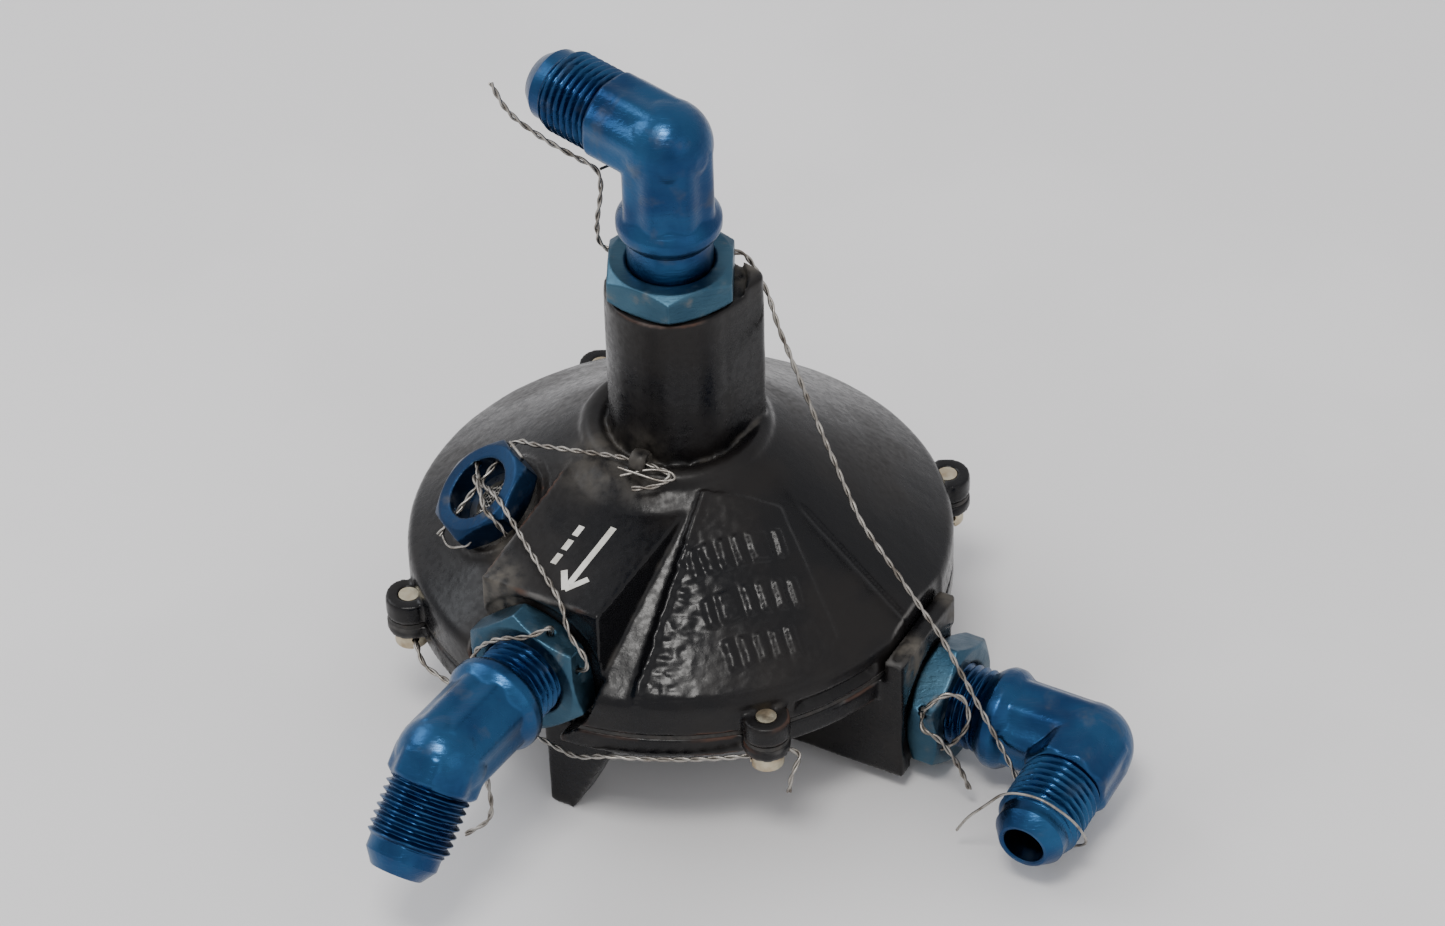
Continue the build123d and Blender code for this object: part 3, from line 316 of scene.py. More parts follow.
def make_surroundings():
    world = bpy.data.worlds.new("studio")
    world.use_nodes = True
    background = world.node_tree.nodes["Background"]
    background.inputs["Color"].default_value = (0.80, 0.80, 0.82, 1)
    background.inputs["Strength"].default_value = 0.98
    bpy.context.scene.world = world
    middle = (0, 0, 0.05)
    make_light("overhead", (-0.14, -0.45, 1.10), middle, (0.35, 0.25), 6.0, (1.0, 0.98, 0.95))
    make_light("window", (-0.9, 0.5, 0.9), middle, (0.9, 0.6), 5.5, (0.93, 0.96, 1.0))
    make_light("fill", (0.7, -0.9, 0.6), middle, (0.8, 0.8), 1.0)
    mesh = bpy.data.meshes.new("floor")
    half = FLOOR_HALF
    corners = [(-half, -half, 0), (half, -half, 0), (half, half, 0), (-half, half, 0)]
    mesh.from_pydata(corners, [], [(0, 1, 2, 3)])
    floor = bpy.data.objects.new("floor", mesh)
    bpy.context.scene.collection.objects.link(floor)
    finish = Finish("pale_floor", (0.82, 0.81, 0.81), 0, 0.6)
    finish.colour(finish.mix(finish.noise(9, 4, 0.45, 0.6), (0.81, 0.80, 0.80), (0.85, 0.84, 0.84)))
    mesh.materials.append(finish.material)


# ---------------------------------------------------------------- materials


class Finish:
    """A node material, with short calls for the nodes that the finishes here share."""

    def __init__(self, name, colour, metallic, roughness):
        self.material = bpy.data.materials.new(name)
        self.material.use_nodes = True
        self.tree = self.material.node_tree
        self.shader = self.tree.nodes["Principled BSDF"]
        self.shader.inputs["Base Color"].default_value = (*colour, 1)
        self.shader.inputs["Metallic"].default_value = metallic
        self.shader.inputs["Roughness"].default_value = roughness
        self.place = self.tree.nodes.new("ShaderNodeTexCoord").outputs["Object"]

    def put(self, value, socket):
        """Links a node's output to a socket, or sets a plain value on it."""
        if isinstance(value, bpy.types.NodeSocket):
            self.tree.links.new(value, socket)
        elif isinstance(value, tuple):
            socket.default_value = (*value, 1)
        else:
            socket.default_value = value

    def between(self, value, low, high):
        """A value brought from low..high to 0..1 with soft ends."""
        node = self.tree.nodes.new("ShaderNodeMapRange")
        node.interpolation_type = "SMOOTHSTEP"
        self.put(value, node.inputs["Value"])
        node.inputs["From Min"].default_value = low
        node.inputs["From Max"].default_value = high
        return node.outputs["Result"]

    def noise(self, scale, detail=3, low=0.0, high=1.0, stretch=None):
        """Noise of a scale in features per metre, brought from low..high to 0..1."""
        node = self.tree.nodes.new("ShaderNodeTexNoise")
        node.inputs["Scale"].default_value = scale
        node.inputs["Detail"].default_value = detail
        place = self.place
        if stretch:
            mapping = self.tree.nodes.new("ShaderNodeMapping")
            mapping.inputs["Scale"].default_value = stretch
            self.put(self.place, mapping.inputs["Vector"])
            place = mapping.outputs["Vector"]
        self.put(place, node.inputs["Vector"])
        return self.between(node.outputs["Fac"], low, high)

    def attribute(self, name, low=0.0, high=1.0):
        node = self.tree.nodes.new("ShaderNodeAttribute")
        node.attribute_name = name
        return self.between(node.outputs["Fac"], low, high)

    def maths(self, operation, first, second):
        node = self.tree.nodes.new("ShaderNodeMath")
        node.operation = operation
        node.use_clamp = True
        self.put(first, node.inputs[0])
        self.put(second, node.inputs[1])
        return node.outputs[0]

    def times(self, first, second):
        return self.maths("MULTIPLY", first, second)

    def plus(self, first, second):
        return self.maths("ADD", first, second)

    def mix(self, factor, first, second):
        node = self.tree.nodes.new("ShaderNodeMix")
        node.data_type = "RGBA"
        self.put(factor, node.inputs[0])
        self.put(first, node.inputs[6])
        self.put(second, node.inputs[7])
        return node.outputs[2]

    def spread(self, factor, first, second):
        """A number that goes from first to second with the factor."""
        node = self.tree.nodes.new("ShaderNodeMapRange")
        self.put(factor, node.inputs["Value"])
        node.inputs["To Min"].default_value = first
        node.inputs["To Max"].default_value = second
        return node.outputs["Result"]

    def colour(self, value):
        self.put(value, self.shader.inputs["Base Color"])

    def roughness(self, value):
        self.put(value, self.shader.inputs["Roughness"])

    def metallic(self, value):
        self.put(value, self.shader.inputs["Metallic"])

    def bump(self, height, depth, strength=1.0):
        """Bump whose full height is a depth in millimetres."""
        node = self.tree.nodes.new("ShaderNodeBump")
        node.inputs["Strength"].default_value = strength
        node.inputs["Distance"].default_value = depth * MM
        self.put(height, node.inputs["Height"])
        self.put(node.outputs["Normal"], self.shader.inputs["Normal"])


def enamel_finish():
    """Glossy black enamel on a rough casting, rubbed brown at its edges, dusty in its corners."""
    black = (0.0035, 0.0035, 0.0045)
    warm_black = (0.009, 0.0075, 0.007)
    brown = (0.075, 0.038, 0.026)
    grey = (0.12, 0.115, 0.11)
    dust = (0.125, 0.112, 0.094)
    finish = Finish("black_enamel", black, 0, 0.25)
    patches = finish.noise(60, 4, 0.4, 0.65)
    coat = finish.mix(patches, black, warm_black)
    grain = finish.noise(900, 3, 0.35, 0.7)
    metal = finish.mix(finish.noise(90, 2, 0.45, 0.55), brown, grey)
    rubbed = finish.times(finish.attribute("edge", 0.40, 0.85), finish.noise(55, 5, 0.50, 0.62))
    worn = finish.plus(finish.times(rubbed, 0.8), finish.attribute("wear"))
    coat = finish.mix(worn, coat, metal)
    settled = finish.times(finish.attribute("dust"), finish.noise(420, 5, 0.25, 0.65))
    corners = finish.times(finish.attribute("crevice", 0.2, 0.8), finish.noise(240, 4, 0.4, 0.75))
    dusty = finish.plus(finish.times(corners, 0.35), settled)
    finish.colour(finish.mix(dusty, coat, dust))
    film = finish.plus(finish.times(patches, 0.35), finish.times(grain, 0.3))
    finish.roughness(finish.spread(finish.plus(film, finish.plus(dusty, worn)), 0.20, 0.62))
    finish.shader.inputs["Specular IOR Level"].default_value = 0.26
    pits = finish.times(finish.noise(1300, 3), 0.5)
    finish.bump(finish.plus(pits, finish.times(finish.noise(320, 2), 0.5)), 0.035)
    return finish.material


def anodised_finish(name, deep, light, dirt, grimy, cloud):
    """Dyed anodised aluminium: uneven colour, rubbed pale edges and brown or grey grime."""
    finish = Finish(name, deep, 1, 0.3)
    tone = finish.mix(finish.noise(70, 4, 0.35, 0.65), deep, light)
    tone = finish.mix(finish.times(finish.attribute("edge", 0.35, 0.9), 0.8), tone, (0.20, 0.32, 0.42))
    grime = finish.times(finish.noise(230, 5, 0.54, 0.75), grimy)
    grime = finish.plus(grime, finish.times(finish.attribute("crevice", 0.2, 0.8), 0.45))
    grime = finish.times(grime, finish.noise(600, 4, 0.2, 0.6))
    finish.colour(finish.mix(grime, tone, dirt))
    finish.metallic(finish.spread(grime, 1.0, 0.25))
    dulled = finish.plus(finish.times(finish.noise(200, 4, 0.3, 0.7), 0.5), grime)
    finish.roughness(finish.spread(dulled, *cloud))
    scratches = finish.noise(260, 4, 0.45, 0.55, stretch=(1.0, 5.0, 9.0))
    finish.bump(finish.plus(finish.times(scratches, 0.4), finish.times(finish.noise(1800, 3), 0.4)), 0.025)
    return finish.material


def metal_finish(name, colour, darker, roughness, grain=700, depth=0.02):
    """Bare or plated metal with a fine grain and dull patches."""
    finish = Finish(name, colour, 1, roughness)
    finish.colour(finish.mix(finish.noise(grain * 0.4, 4, 0.4, 0.7), colour, darker))
    finish.roughness(finish.spread(finish.noise(grain, 3, 0.3, 0.7), roughness * 0.8, roughness * 1.35))
    finish.bump(finish.noise(grain * 2.5, 3), depth)
    return finish.material


def soft_finish(name, colour, lighter, roughness, grain=900):
    """Rubber, plastic or paint."""
    finish = Finish(name, colour, 0, roughness)
    finish.colour(finish.mix(finish.noise(grain * 0.3, 4, 0.4, 0.7), colour, lighter))
    finish.roughness(finish.spread(finish.noise(grain, 3, 0.3, 0.7), roughness * 0.85, roughness * 1.15))
    finish.bump(finish.noise(grain * 2, 3), 0.03)
    return finish.material


def make_finishes():
    brown_dirt = (0.09, 0.08, 0.06)
    grey_dirt = (0.17, 0.155, 0.135)
    elbow_blue = ((0.014, 0.046, 0.125), (0.028, 0.092, 0.20), brown_dirt, 0.3, (0.24, 0.50))
    nut_teal = ((0.028, 0.074, 0.119), (0.056, 0.124, 0.177), grey_dirt, 0.6, (0.34, 0.60))
    plug_blue = ((0.010, 0.028, 0.070), (0.016, 0.046, 0.105), brown_dirt, 0.6, (0.34, 0.55))
    pale_rubber = (0.035, 0.03, 0.026)
    return {
        "black_enamel": enamel_finish(),
        "blue_anodised": anodised_finish("blue_anodised", *elbow_blue),
        "teal_anodised": anodised_finish("teal_anodised", *nut_teal),
        "plug_blue": anodised_finish("plug_blue", *plug_blue),
        "plated_screw": metal_finish("plated_screw", (0.60, 0.55, 0.42), (0.42, 0.33, 0.22), 0.45),
        "lockwire": metal_finish("lockwire", (0.38, 0.36, 0.33), (0.16, 0.14, 0.12), 0.38, 900),
        "seal_rubber": soft_finish("seal_rubber", (0.012, 0.012, 0.012), (0.025, 0.024, 0.022), 0.6),
        "diaphragm_rubber": soft_finish("diaphragm_rubber", (0.02, 0.019, 0.018), pale_rubber, 0.7, 1600),
        "backup_ring": soft_finish("backup_ring", (0.62, 0.57, 0.48), (0.50, 0.44, 0.34), 0.5),
        "screen_mesh": metal_finish("screen_mesh", (0.50, 0.49, 0.46), (0.30, 0.29, 0.27), 0.4),
        "inner_steel": metal_finish("inner_steel", (0.58, 0.57, 0.55), (0.46, 0.45, 0.43), 0.28, 500),
        "inner_aluminium": metal_finish("inner_aluminium", (0.74, 0.74, 0.73), (0.62, 0.62, 0.60), 0.35, 450),
        "seat_brass": metal_finish("seat_brass", (0.62, 0.42, 0.16), (0.48, 0.31, 0.12), 0.33, 500),
        "spring_steel": metal_finish("spring_steel", (0.42, 0.41, 0.40), (0.30, 0.29, 0.28), 0.3, 700),
        "white_paint": soft_finish("white_paint", (0.72, 0.71, 0.66), (0.52, 0.50, 0.44), 0.5),
    }


# ---------------------------------------------------------------- mesh helpers


def new_piece(name, builder, finish, angle=35):
    """Object from a bmesh in metres, shaded smooth except over sharp edges."""
    bmesh.ops.recalc_face_normals(builder, faces=builder.faces)
    mesh = bpy.data.meshes.new(name)
    builder.to_mesh(mesh)
    builder.free()
    mesh.polygons.foreach_set("use_smooth", [True] * len(mesh.polygons))
    mesh.set_sharp_from_angle(angle=math.radians(angle))
    mesh.materials.append(finish)
    piece = bpy.data.objects.new(name, mesh)
    bpy.context.scene.collection.objects.link(piece)
    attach(piece, BODY)
    return piece


def bridge(builder, below, above):
    """Faces between two rings of points, or a ring and a single point."""
    count = max(len(below), len(above))
    for i in range(count):
        j = (i + 1) % count
        corners = [
            below[i % len(below)],
            below[j % len(below)],
            above[j % len(above)],
            above[i % len(above)],
        ]
        corners = list(dict.fromkeys(corners))
        if len(corners) > 2:
            builder.faces.new(corners)


def lathe(builder, place, outline, sides=96, closed=False):
    """Turned shape from (radius, height) rows in millimetres; a radius may depend on the angle."""
    rings = []
    for radius, height in outline:
        if radius == 0:
            rings.append([builder.verts.new(place @ Vector((0, 0, height)) * MM)])
            continue
        ring = []
        for i in range(sides):
            turn = 2 * math.pi * i / sides
            reach = radius(turn) if callable(radius) else radius
            spot = Vector((reach * math.cos(turn), reach * math.sin(turn), height))
            ring.append(builder.verts.new(place @ spot * MM))
        rings.append(ring)
    for below, above in zip(rings, rings[1:]):
        bridge(builder, below, above)
    if closed:
        bridge(builder, rings[-1], rings[0])


def tube(builder, path, radius, sides=8):
    """Round bar along a list of points in metres, with closed ends."""
    rings = []
    side = (path[1] - path[0]).orthogonal().normalized()
    for i, spot in enumerate(path):
        way = (path[min(i + 1, len(path) - 1)] - path[max(i - 1, 0)]).normalized()
        side = (side - way * side.dot(way)).normalized()
        other = way.cross(side)
        ring = []
        for k in range(sides):
            turn = 2 * math.pi * k / sides
            ring.append(builder.verts.new(spot + (side * math.cos(turn) + other * math.sin(turn)) * radius))
        rings.append(ring)
    for below, above in zip(rings, rings[1:]):
        bridge(builder, below, above)
    builder.faces.new(rings[0])
    builder.faces.new(rings[-1])


def modified(piece, *steps):
    """Applies modifiers, each given as (type, {setting: value}), to a piece's mesh."""
    for kind, settings in steps:
        modifier = piece.modifiers.new(kind.lower(), kind)
        for setting, value in settings.items():
            setattr(modifier, setting, value)
    bpy.context.view_layer.update()
    shaped = piece.evaluated_get(bpy.context.evaluated_depsgraph_get())
    mesh = bpy.data.meshes.new_from_object(shaped)
    piece.modifiers.clear()
    piece.data = mesh
    return mesh


def points_of(mesh):
    flat = np.empty(len(mesh.vertices) * 3)
    mesh.vertices.foreach_get("co", flat)
    return flat.reshape(-1, 3)


def normals_of(mesh):
    flat = np.empty(len(mesh.vertices) * 3)
    mesh.vertices.foreach_get("normal", flat)
    return flat.reshape(-1, 3)


def neighbour_mean(values, mesh):
    """Mean of each point's neighbours' values."""
    ends = np.empty(len(mesh.edges) * 2, int)
    mesh.edges.foreach_get("vertices", ends)
    ends = ends.reshape(-1, 2)
    count = len(values)
    degree = np.bincount(ends.ravel(), minlength=count)
    total = np.zeros_like(values)
    for k in range(values.shape[1]):
        total[:, k] += np.bincount(ends[:, 0], values[ends[:, 1], k], count)
        total[:, k] += np.bincount(ends[:, 1], values[ends[:, 0], k], count)
    return total / degree[:, None]


def keep_values(mesh, name, values):
    layer = mesh.attributes.new(name, "FLOAT", "POINT")
    layer.data.foreach_set("value", np.clip(values, 0, 1).astype(np.float32))


def stored_values(mesh, name):
    values = np.empty(len(mesh.vertices), np.float32)
    mesh.attributes[name].data.foreach_get("value", values)
    return values


def mark_edges(mesh, voxel, gain=9.0, spread=3):
    """Stores how far each point lies on an outer edge or in an inner corner."""
    points = points_of(mesh)
    bend = np.sum((points - neighbour_mean(points, mesh)) * normals_of(mesh), axis=1) / (voxel * MM)
    bend = bend[:, None]
    for _ in range(spread):
        bend = 0.5 * bend + 0.5 * neighbour_mean(bend, mesh)
    keep_values(mesh, "edge", bend[:, 0] * gain)
    keep_values(mesh, "crevice", -bend[:, 0] * gain)


def skin(piece, voxel, passes):
    """Makes a piece one closed skin of small even faces, and smooths it."""
    remesh = {"mode": "VOXEL", "voxel_size": voxel * MM, "use_smooth_shade": True}
    modified(piece, ("REMESH", remesh), ("SMOOTH", {"factor": 0.5, "iterations": passes}))


def softened(name, source, voxel, passes, finish):
    """Copy of a CAD node as one skin of small even faces, its sharp edges rounded."""
    builder = bmesh.new()
    builder.from_mesh(nodes[source].data)
    bmesh.ops.remove_doubles(builder, verts=builder.verts, dist=0.002 * MM)
    piece = new_piece(name, builder, finish)
    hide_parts(source)
    skin(piece, voxel, passes)
    piece.data.materials.clear()
    piece.data.materials.append(finish)
    return piece


# ---------------------------------------------------------------- castings

PAD_OUTLINE = [(3.8, -17.0), (-9.6, -47.0), (11.3, -47.0), (20.5, -40.5), (25.6, -33.8), (16.9, -16.4)]
PAD_ROW_REACHES = (26.5, 33.5, 40.0)   # distance of each row of raised bars along the pad's middle
PAD_FACING = 289.0


def inside_depth(x, y):
    """How far points lie inside the pad's outline, negative outside it."""
    depth = np.full_like(x, 1e3)
    for (x0, y0), (x1, y1) in zip(PAD_OUTLINE, PAD_OUTLINE[1:] + PAD_OUTLINE[:1]):
        run = math.hypot(x1 - x0, y1 - y0)
        depth = np.minimum(depth, ((x1 - x0) * (y - y0) - (y1 - y0) * (x - x0)) / run)
    return depth


def pad_relief(x, y):
    """Height of the cast pad's ridge and of its rows of blank bars, in millimetres."""
    first, second = PAD_OUTLINE[:2]
    run = math.hypot(second[0] - first[0], second[1] - first[1])
    ridge = ((second[0] - first[0]) * (y - first[1]) - (second[1] - first[1]) * (x - first[0])) / run
    inside = np.clip(inside_depth(x, y) / 0.8 + 0.6, 0, 1)
    relief = RIDGE_HEIGHT * np.exp(-(((ridge - 0.7) / 0.6) ** 2)) * inside
    out = heading(PAD_FACING)
    across = heading(PAD_FACING + 90)
    reach = x * out.x + y * out.y
    place = x * across.x + y * across.y
    for row, row_reach in enumerate(PAD_ROW_REACHES):
        draw = random.Random(row)
        start = -7.5 + 1.5 * (row == 2)
        stop = 9.0 - 4.0 * (row == 2)
        while start < stop:
            width = draw.choice((1.4, 1.4, 3.2))
            bar = np.clip((width / 2 + 0.35 - np.abs(place - start - width / 2)) / 0.6, 0, 1)
            bar = bar * np.clip((BAR_HALF_LENGTH - np.abs(reach - row_reach)) / 0.6, 0, 1)
            relief = np.maximum(relief, BAR_HEIGHT * bar * inside)
            start += width + BAR_GAP
    strip = np.clip(1.4 - ridge / 7.0, 0.25, 1.0)
    return relief, inside, strip


def rough(points, scale, seed):
    """Smooth noise at each point, about -1..1; the scale is in features per millimetre."""
    shift = Vector((seed * 7.3, seed * 3.1, seed * 5.7))
    return np.array([noise.noise(Vector(p) * scale + shift) for p in points])


def smooth_step(values, low, high):
    share = np.clip((values - low) / (high - low), 0, 1)
    return share * share * (3 - 2 * share)


def near(points, spot, reach):
    return 1 - smooth_step(np.linalg.norm(points - np.array(spot), axis=1), 0.3 * reach, reach)


def make_cover(finishes):
    enamel = finishes["black_enamel"]
    cover = softened("cast_cover", "upper_cover", COVER_VOXEL, 4, enamel)
    mesh = cover.data
    mark_edges(mesh, COVER_VOXEL)
    edge = stored_values(mesh, "edge")
    points = points_of(mesh) / MM
    normals = normals_of(mesh)
    x, y, z = points.T
    radius = np.hypot(x, y)
    plan = np.degrees(np.arctan2(y, x)) % 360
    drift = 0.28 * rough(points, 0.45, 6)
    relief, inside, strip = pad_relief(x + drift, y - drift)
    on_cone = smooth_step(normals[:, 2], 0.35, 0.6) * (radius > 16.5) * (z < CONE_TOP + 1)
    on_pad = inside * on_cone * (np.abs(z - RIM_TOP - (RIM_RADIUS - radius) * CONE_SLOPE) < 2.5)
    fine = rough(points, 0.9, 1)
    broad = rough(points, 0.16, 2)
    lift = 0.022 * fine + 0.06 * broad
    lift = lift + on_pad * (relief + strip * (0.20 * rough(points, 0.5, 3) + 0.15 * fine))
    # index line scribed down the cone
    line = heading(INDEX_LINE_ANGLE)
    beside = np.abs(x * line.y - y * line.x)
    ahead = x * line.x + y * line.y
    scribed = np.exp(-((beside / INDEX_LINE_HALF_WIDTH) ** 2)) * smooth_step(ahead, 24, 27)
    lift = lift - INDEX_LINE_DEPTH * scribed * (z > PARTING + 3)
    # groove under the cover's edge on its right side
    in_band = smooth_step(z, 25.9, 26.5) * (1 - smooth_step(z, 28.1, 28.7))
    in_turn = smooth_step(plan, 292, 296) * (1 - smooth_step(plan, 312, 314))
    groove = GROOVE_DEPTH * in_band * in_turn * (radius > RIM_RADIUS - 0.8)
    points = points + normals * lift[:, None]
    points[:, 0] -= groove * np.cos(np.radians(plan))
    points[:, 1] -= groove * np.sin(np.radians(plan))
    mesh.vertices.foreach_set("co", (points * MM).ravel())
    dusty_spots = [
        (at_front(FRONT_PORT_REACH, -9, 42), 9, 0.7),
        (at_front(FRONT_PORT_REACH + 1, 9, 24), 5, 0.7),
        (Vector((-7, -13.5, 56)), 9, 0.42),
        (at_vent(9, 0, -3), 8, 0.6),
        (Vector((12, 4, TOWER_TOP)), 7, 0.7),
        (Vector((-13, -9, 52)), 10, 0.42),
    ]
    dust = 0.05 * smooth_step(normals[:, 2], 0.5, 1.0) * smooth_step(broad, -0.1, 0.5)
    for spot, reach, amount in dusty_spots:
        dust = np.maximum(dust, amount * near(points, spot, reach))
    keep_values(mesh, "dust", dust)
    rim_wear = near(points, around(324.5, RIM_RADIUS, RIM_TOP), 9) * smooth_step(edge, 0.25, 0.6)
    keep_values(mesh, "wear", rim_wear)
    mesh.update()
    return cover


def make_housing(finishes):
    enamel = finishes["black_enamel"]
    housing = softened("cast_housing", "lower_housing", HOUSING_VOXEL, 4, enamel)
    mesh = housing.data
    mark_edges(mesh, HOUSING_VOXEL)
    points = points_of(mesh) / MM
    normals = normals_of(mesh)
    lift = 0.025 * rough(points, 0.9, 4) + 0.06 * rough(points, 0.16, 5)
    flat_foot = smooth_step(points[:, 2], 0.3, 1.5)
    points = points + normals * (lift * flat_foot)[:, None]
    mesh.vertices.foreach_set("co", (points * MM).ravel())
    near_corner = 0.8 * near(points, at_side(SIDE_PORT_REACH, 8, 26), 6)
    far_corner = 0.6 * near(points, at_side(SIDE_PORT_REACH, -7, 27), 5)
    keep_values(mesh, "dust", np.maximum(near_corner, far_corner))
    mesh.update()


def surface_height(tree, spot):
    """Point on the cover straight below a plan point, both in millimetres."""
    hit = tree.ray_cast(Vector((spot.x, spot.y, 75)) * MM, -UP)[0]
    return hit / MM


def painted_strip(builder, tree, start, end, width):
    """Thin coat of paint along a straight line on the front block's top."""
    way = (end - start).normalized()
    side = Vector((-way.y, way.x, 0)) * (width / 2)
    steps = max(2, int((end - start).length / 0.8))
    rows = []
    for i in range(steps + 1):
        middle = start.lerp(end, i / steps)
        row = [surface_height(tree, middle + side), surface_height(tree, middle - side)]
        rows.append([builder.verts.new((p + UP * rise) * MM) for rise in (0.07, -0.25) for p in row])
    for a, b in zip(rows, rows[1:]):
        for i, j in ((0, 1), (1, 3), (3, 2), (2, 0)):
            builder.faces.new((a[i], a[j], b[j], b[i]))
    for row in (rows[0], rows[-1]):
        builder.faces.new((row[0], row[1], row[3], row[2]))


def make_block_marks(cover, finishes):
    """White arrow with dashes beside it on the front port's block: a plain flow mark."""
    builder = bmesh.new()
    bmesh_of_cover = bmesh.new()
    bmesh_of_cover.from_mesh(cover.data)
    tree = BVHTree.FromBMesh(bmesh_of_cover)
    bmesh_of_cover.free()

    def plan(reach, side):
        return FRONT_AXIS * reach + FRONT_SIDE * side

    tip = plan(38.5, ARROW_SIDE)
    painted_strip(builder, tree, plan(24.0, ARROW_SIDE), tip - FRONT_AXIS * 1.0, PAINT_WIDTH)
    for side in (-2.4, 2.4):
        painted_strip(builder, tree, tip, tip - FRONT_AXIS * 3.4 + FRONT_SIDE * side, PAINT_WIDTH)
    for reach in (26.0, 29.2, 32.4):
        painted_strip(builder, tree, plan(reach, DASH_SIDE), plan(reach + 2.2, DASH_SIDE), PAINT_WIDTH)
    new_piece("flow_mark", builder, finishes["white_paint"])


# ---------------------------------------------------------------- fittings


def thread_rows(start, end, crest=THREAD_RADIUS, step=THREAD_PITCH / 10):
    """Rows of a helical thread for lathe(), faded out at both ends."""
    rows = []
    count = int((end - start) / step)
    for i in range(count + 1):
        height = start + (end - start) * i / count
        fade = min(1.0, (height - start) / 0.9 + 0.15, (end - height) / 0.7 + 0.1)

        def radius(turn, height=height, fade=fade):
            share = (height / THREAD_PITCH - turn / (2 * math.pi)) % 1.0
            flank = min(1.0, max(0.0, (abs(share - 0.5) * 2 - 0.14) / 0.72))
            return crest - THREAD_DEPTH + THREAD_DEPTH * min(flank, fade)

        rows.append((radius, height))
    return rows


def octagonal(radius):
    """Forged leg: round with eight soft flats."""
    return lambda turn: radius * (1 - FLAT_DEPTH * math.cos(8 * turn))


def forged_body(name, port, corner, thread_start, finish):
    """Collar, both legs and the bend as one soft forging, without its bores."""
    builder = bmesh.new()
    leg = octagonal(FITTING_LEG)
    lathe(
        builder,
        port,
        [
            (0, COLLAR_PLACE - 3.4),
            (THREAD_RADIUS - 0.3, COLLAR_PLACE - 3.4),
            (COLLAR_RADIUS - 0.5, COLLAR_PLACE - 1.7),
            (COLLAR_RADIUS, COLLAR_PLACE - 0.8),
            (COLLAR_RADIUS, COLLAR_PLACE + 0.8),
            (COLLAR_RADIUS - 0.5, COLLAR_PLACE + 1.7),
            (FITTING_LEG - 1, COLLAR_PLACE + 4.0),
            (0, COLLAR_PLACE + 4.0),
        ],
    )
    lathe(builder, port, [(0, COLLAR_PLACE), (leg, COLLAR_PLACE), (leg, CORNER_REACH), (0, CORNER_REACH)])
    shoulder = thread_start - 0.3
    outer_leg = [(0, 0), (leg, 0), (leg, shoulder - 0.8), (THREAD_RADIUS - 0.1, shoulder), (0, shoulder)]
    lathe(builder, corner, outer_leg)
    dome = []
    for step in range(1, 18):
        turn = math.radians(step * 10)
        dome.append((DOME_RADIUS * math.sin(turn), -DOME_RADIUS * math.cos(turn)))
    lathe(builder, corner, [(0, -FITTING_LEG), *dome, (0, FITTING_LEG)])
    # parting line of the forging dies, along the outside of the bend
    arrive = port.to_3x3() @ UP
    leave = corner.to_3x3() @ UP
    middle = corner.translation
    out = (arrive - leave * arrive.dot(leave)).normalized() * PARTING_LINE_REACH
    back = (arrive * leave.dot(arrive) - leave).normalized() * PARTING_LINE_REACH
    path = [port.translation + arrive * COLLAR_PLACE + back]
    path += [middle + back.slerp(out, step / 8) for step in range(9)]
    path.append(middle + leave * (shoulder - 0.6) + out)
    tube(builder, [spot * MM for spot in path], PARTING_LINE_RADIUS * MM)
    piece = new_piece(name, builder, finish)
    skin(piece, FORGING_VOXEL, 6)
    return piece


def bore_cutter(port, corner, length):
    """Round way through both legs, as a closed shape for cutting."""
    builder = bmesh.new()
    for leg, start, end in ((port, -BOSS_END - 1, CORNER_REACH), (corner, 0, length + 1)):
        lathe(builder, leg, [(0, start), (FITTING_BORE, start), (FITTING_BORE, end), (0, end)], 48)
    bmesh.ops.recalc_face_normals(builder, faces=builder.faces)
    mesh = bpy.data.meshes.new("bore")
    builder.to_mesh(mesh)
    builder.free()
    cutter = bpy.data.objects.new("bore", mesh)
    bpy.context.scene.collection.objects.link(cutter)
    modified(cutter, ("REMESH", {"mode": "VOXEL", "voxel_size": BORE_VOXEL * MM}))
    return cutter


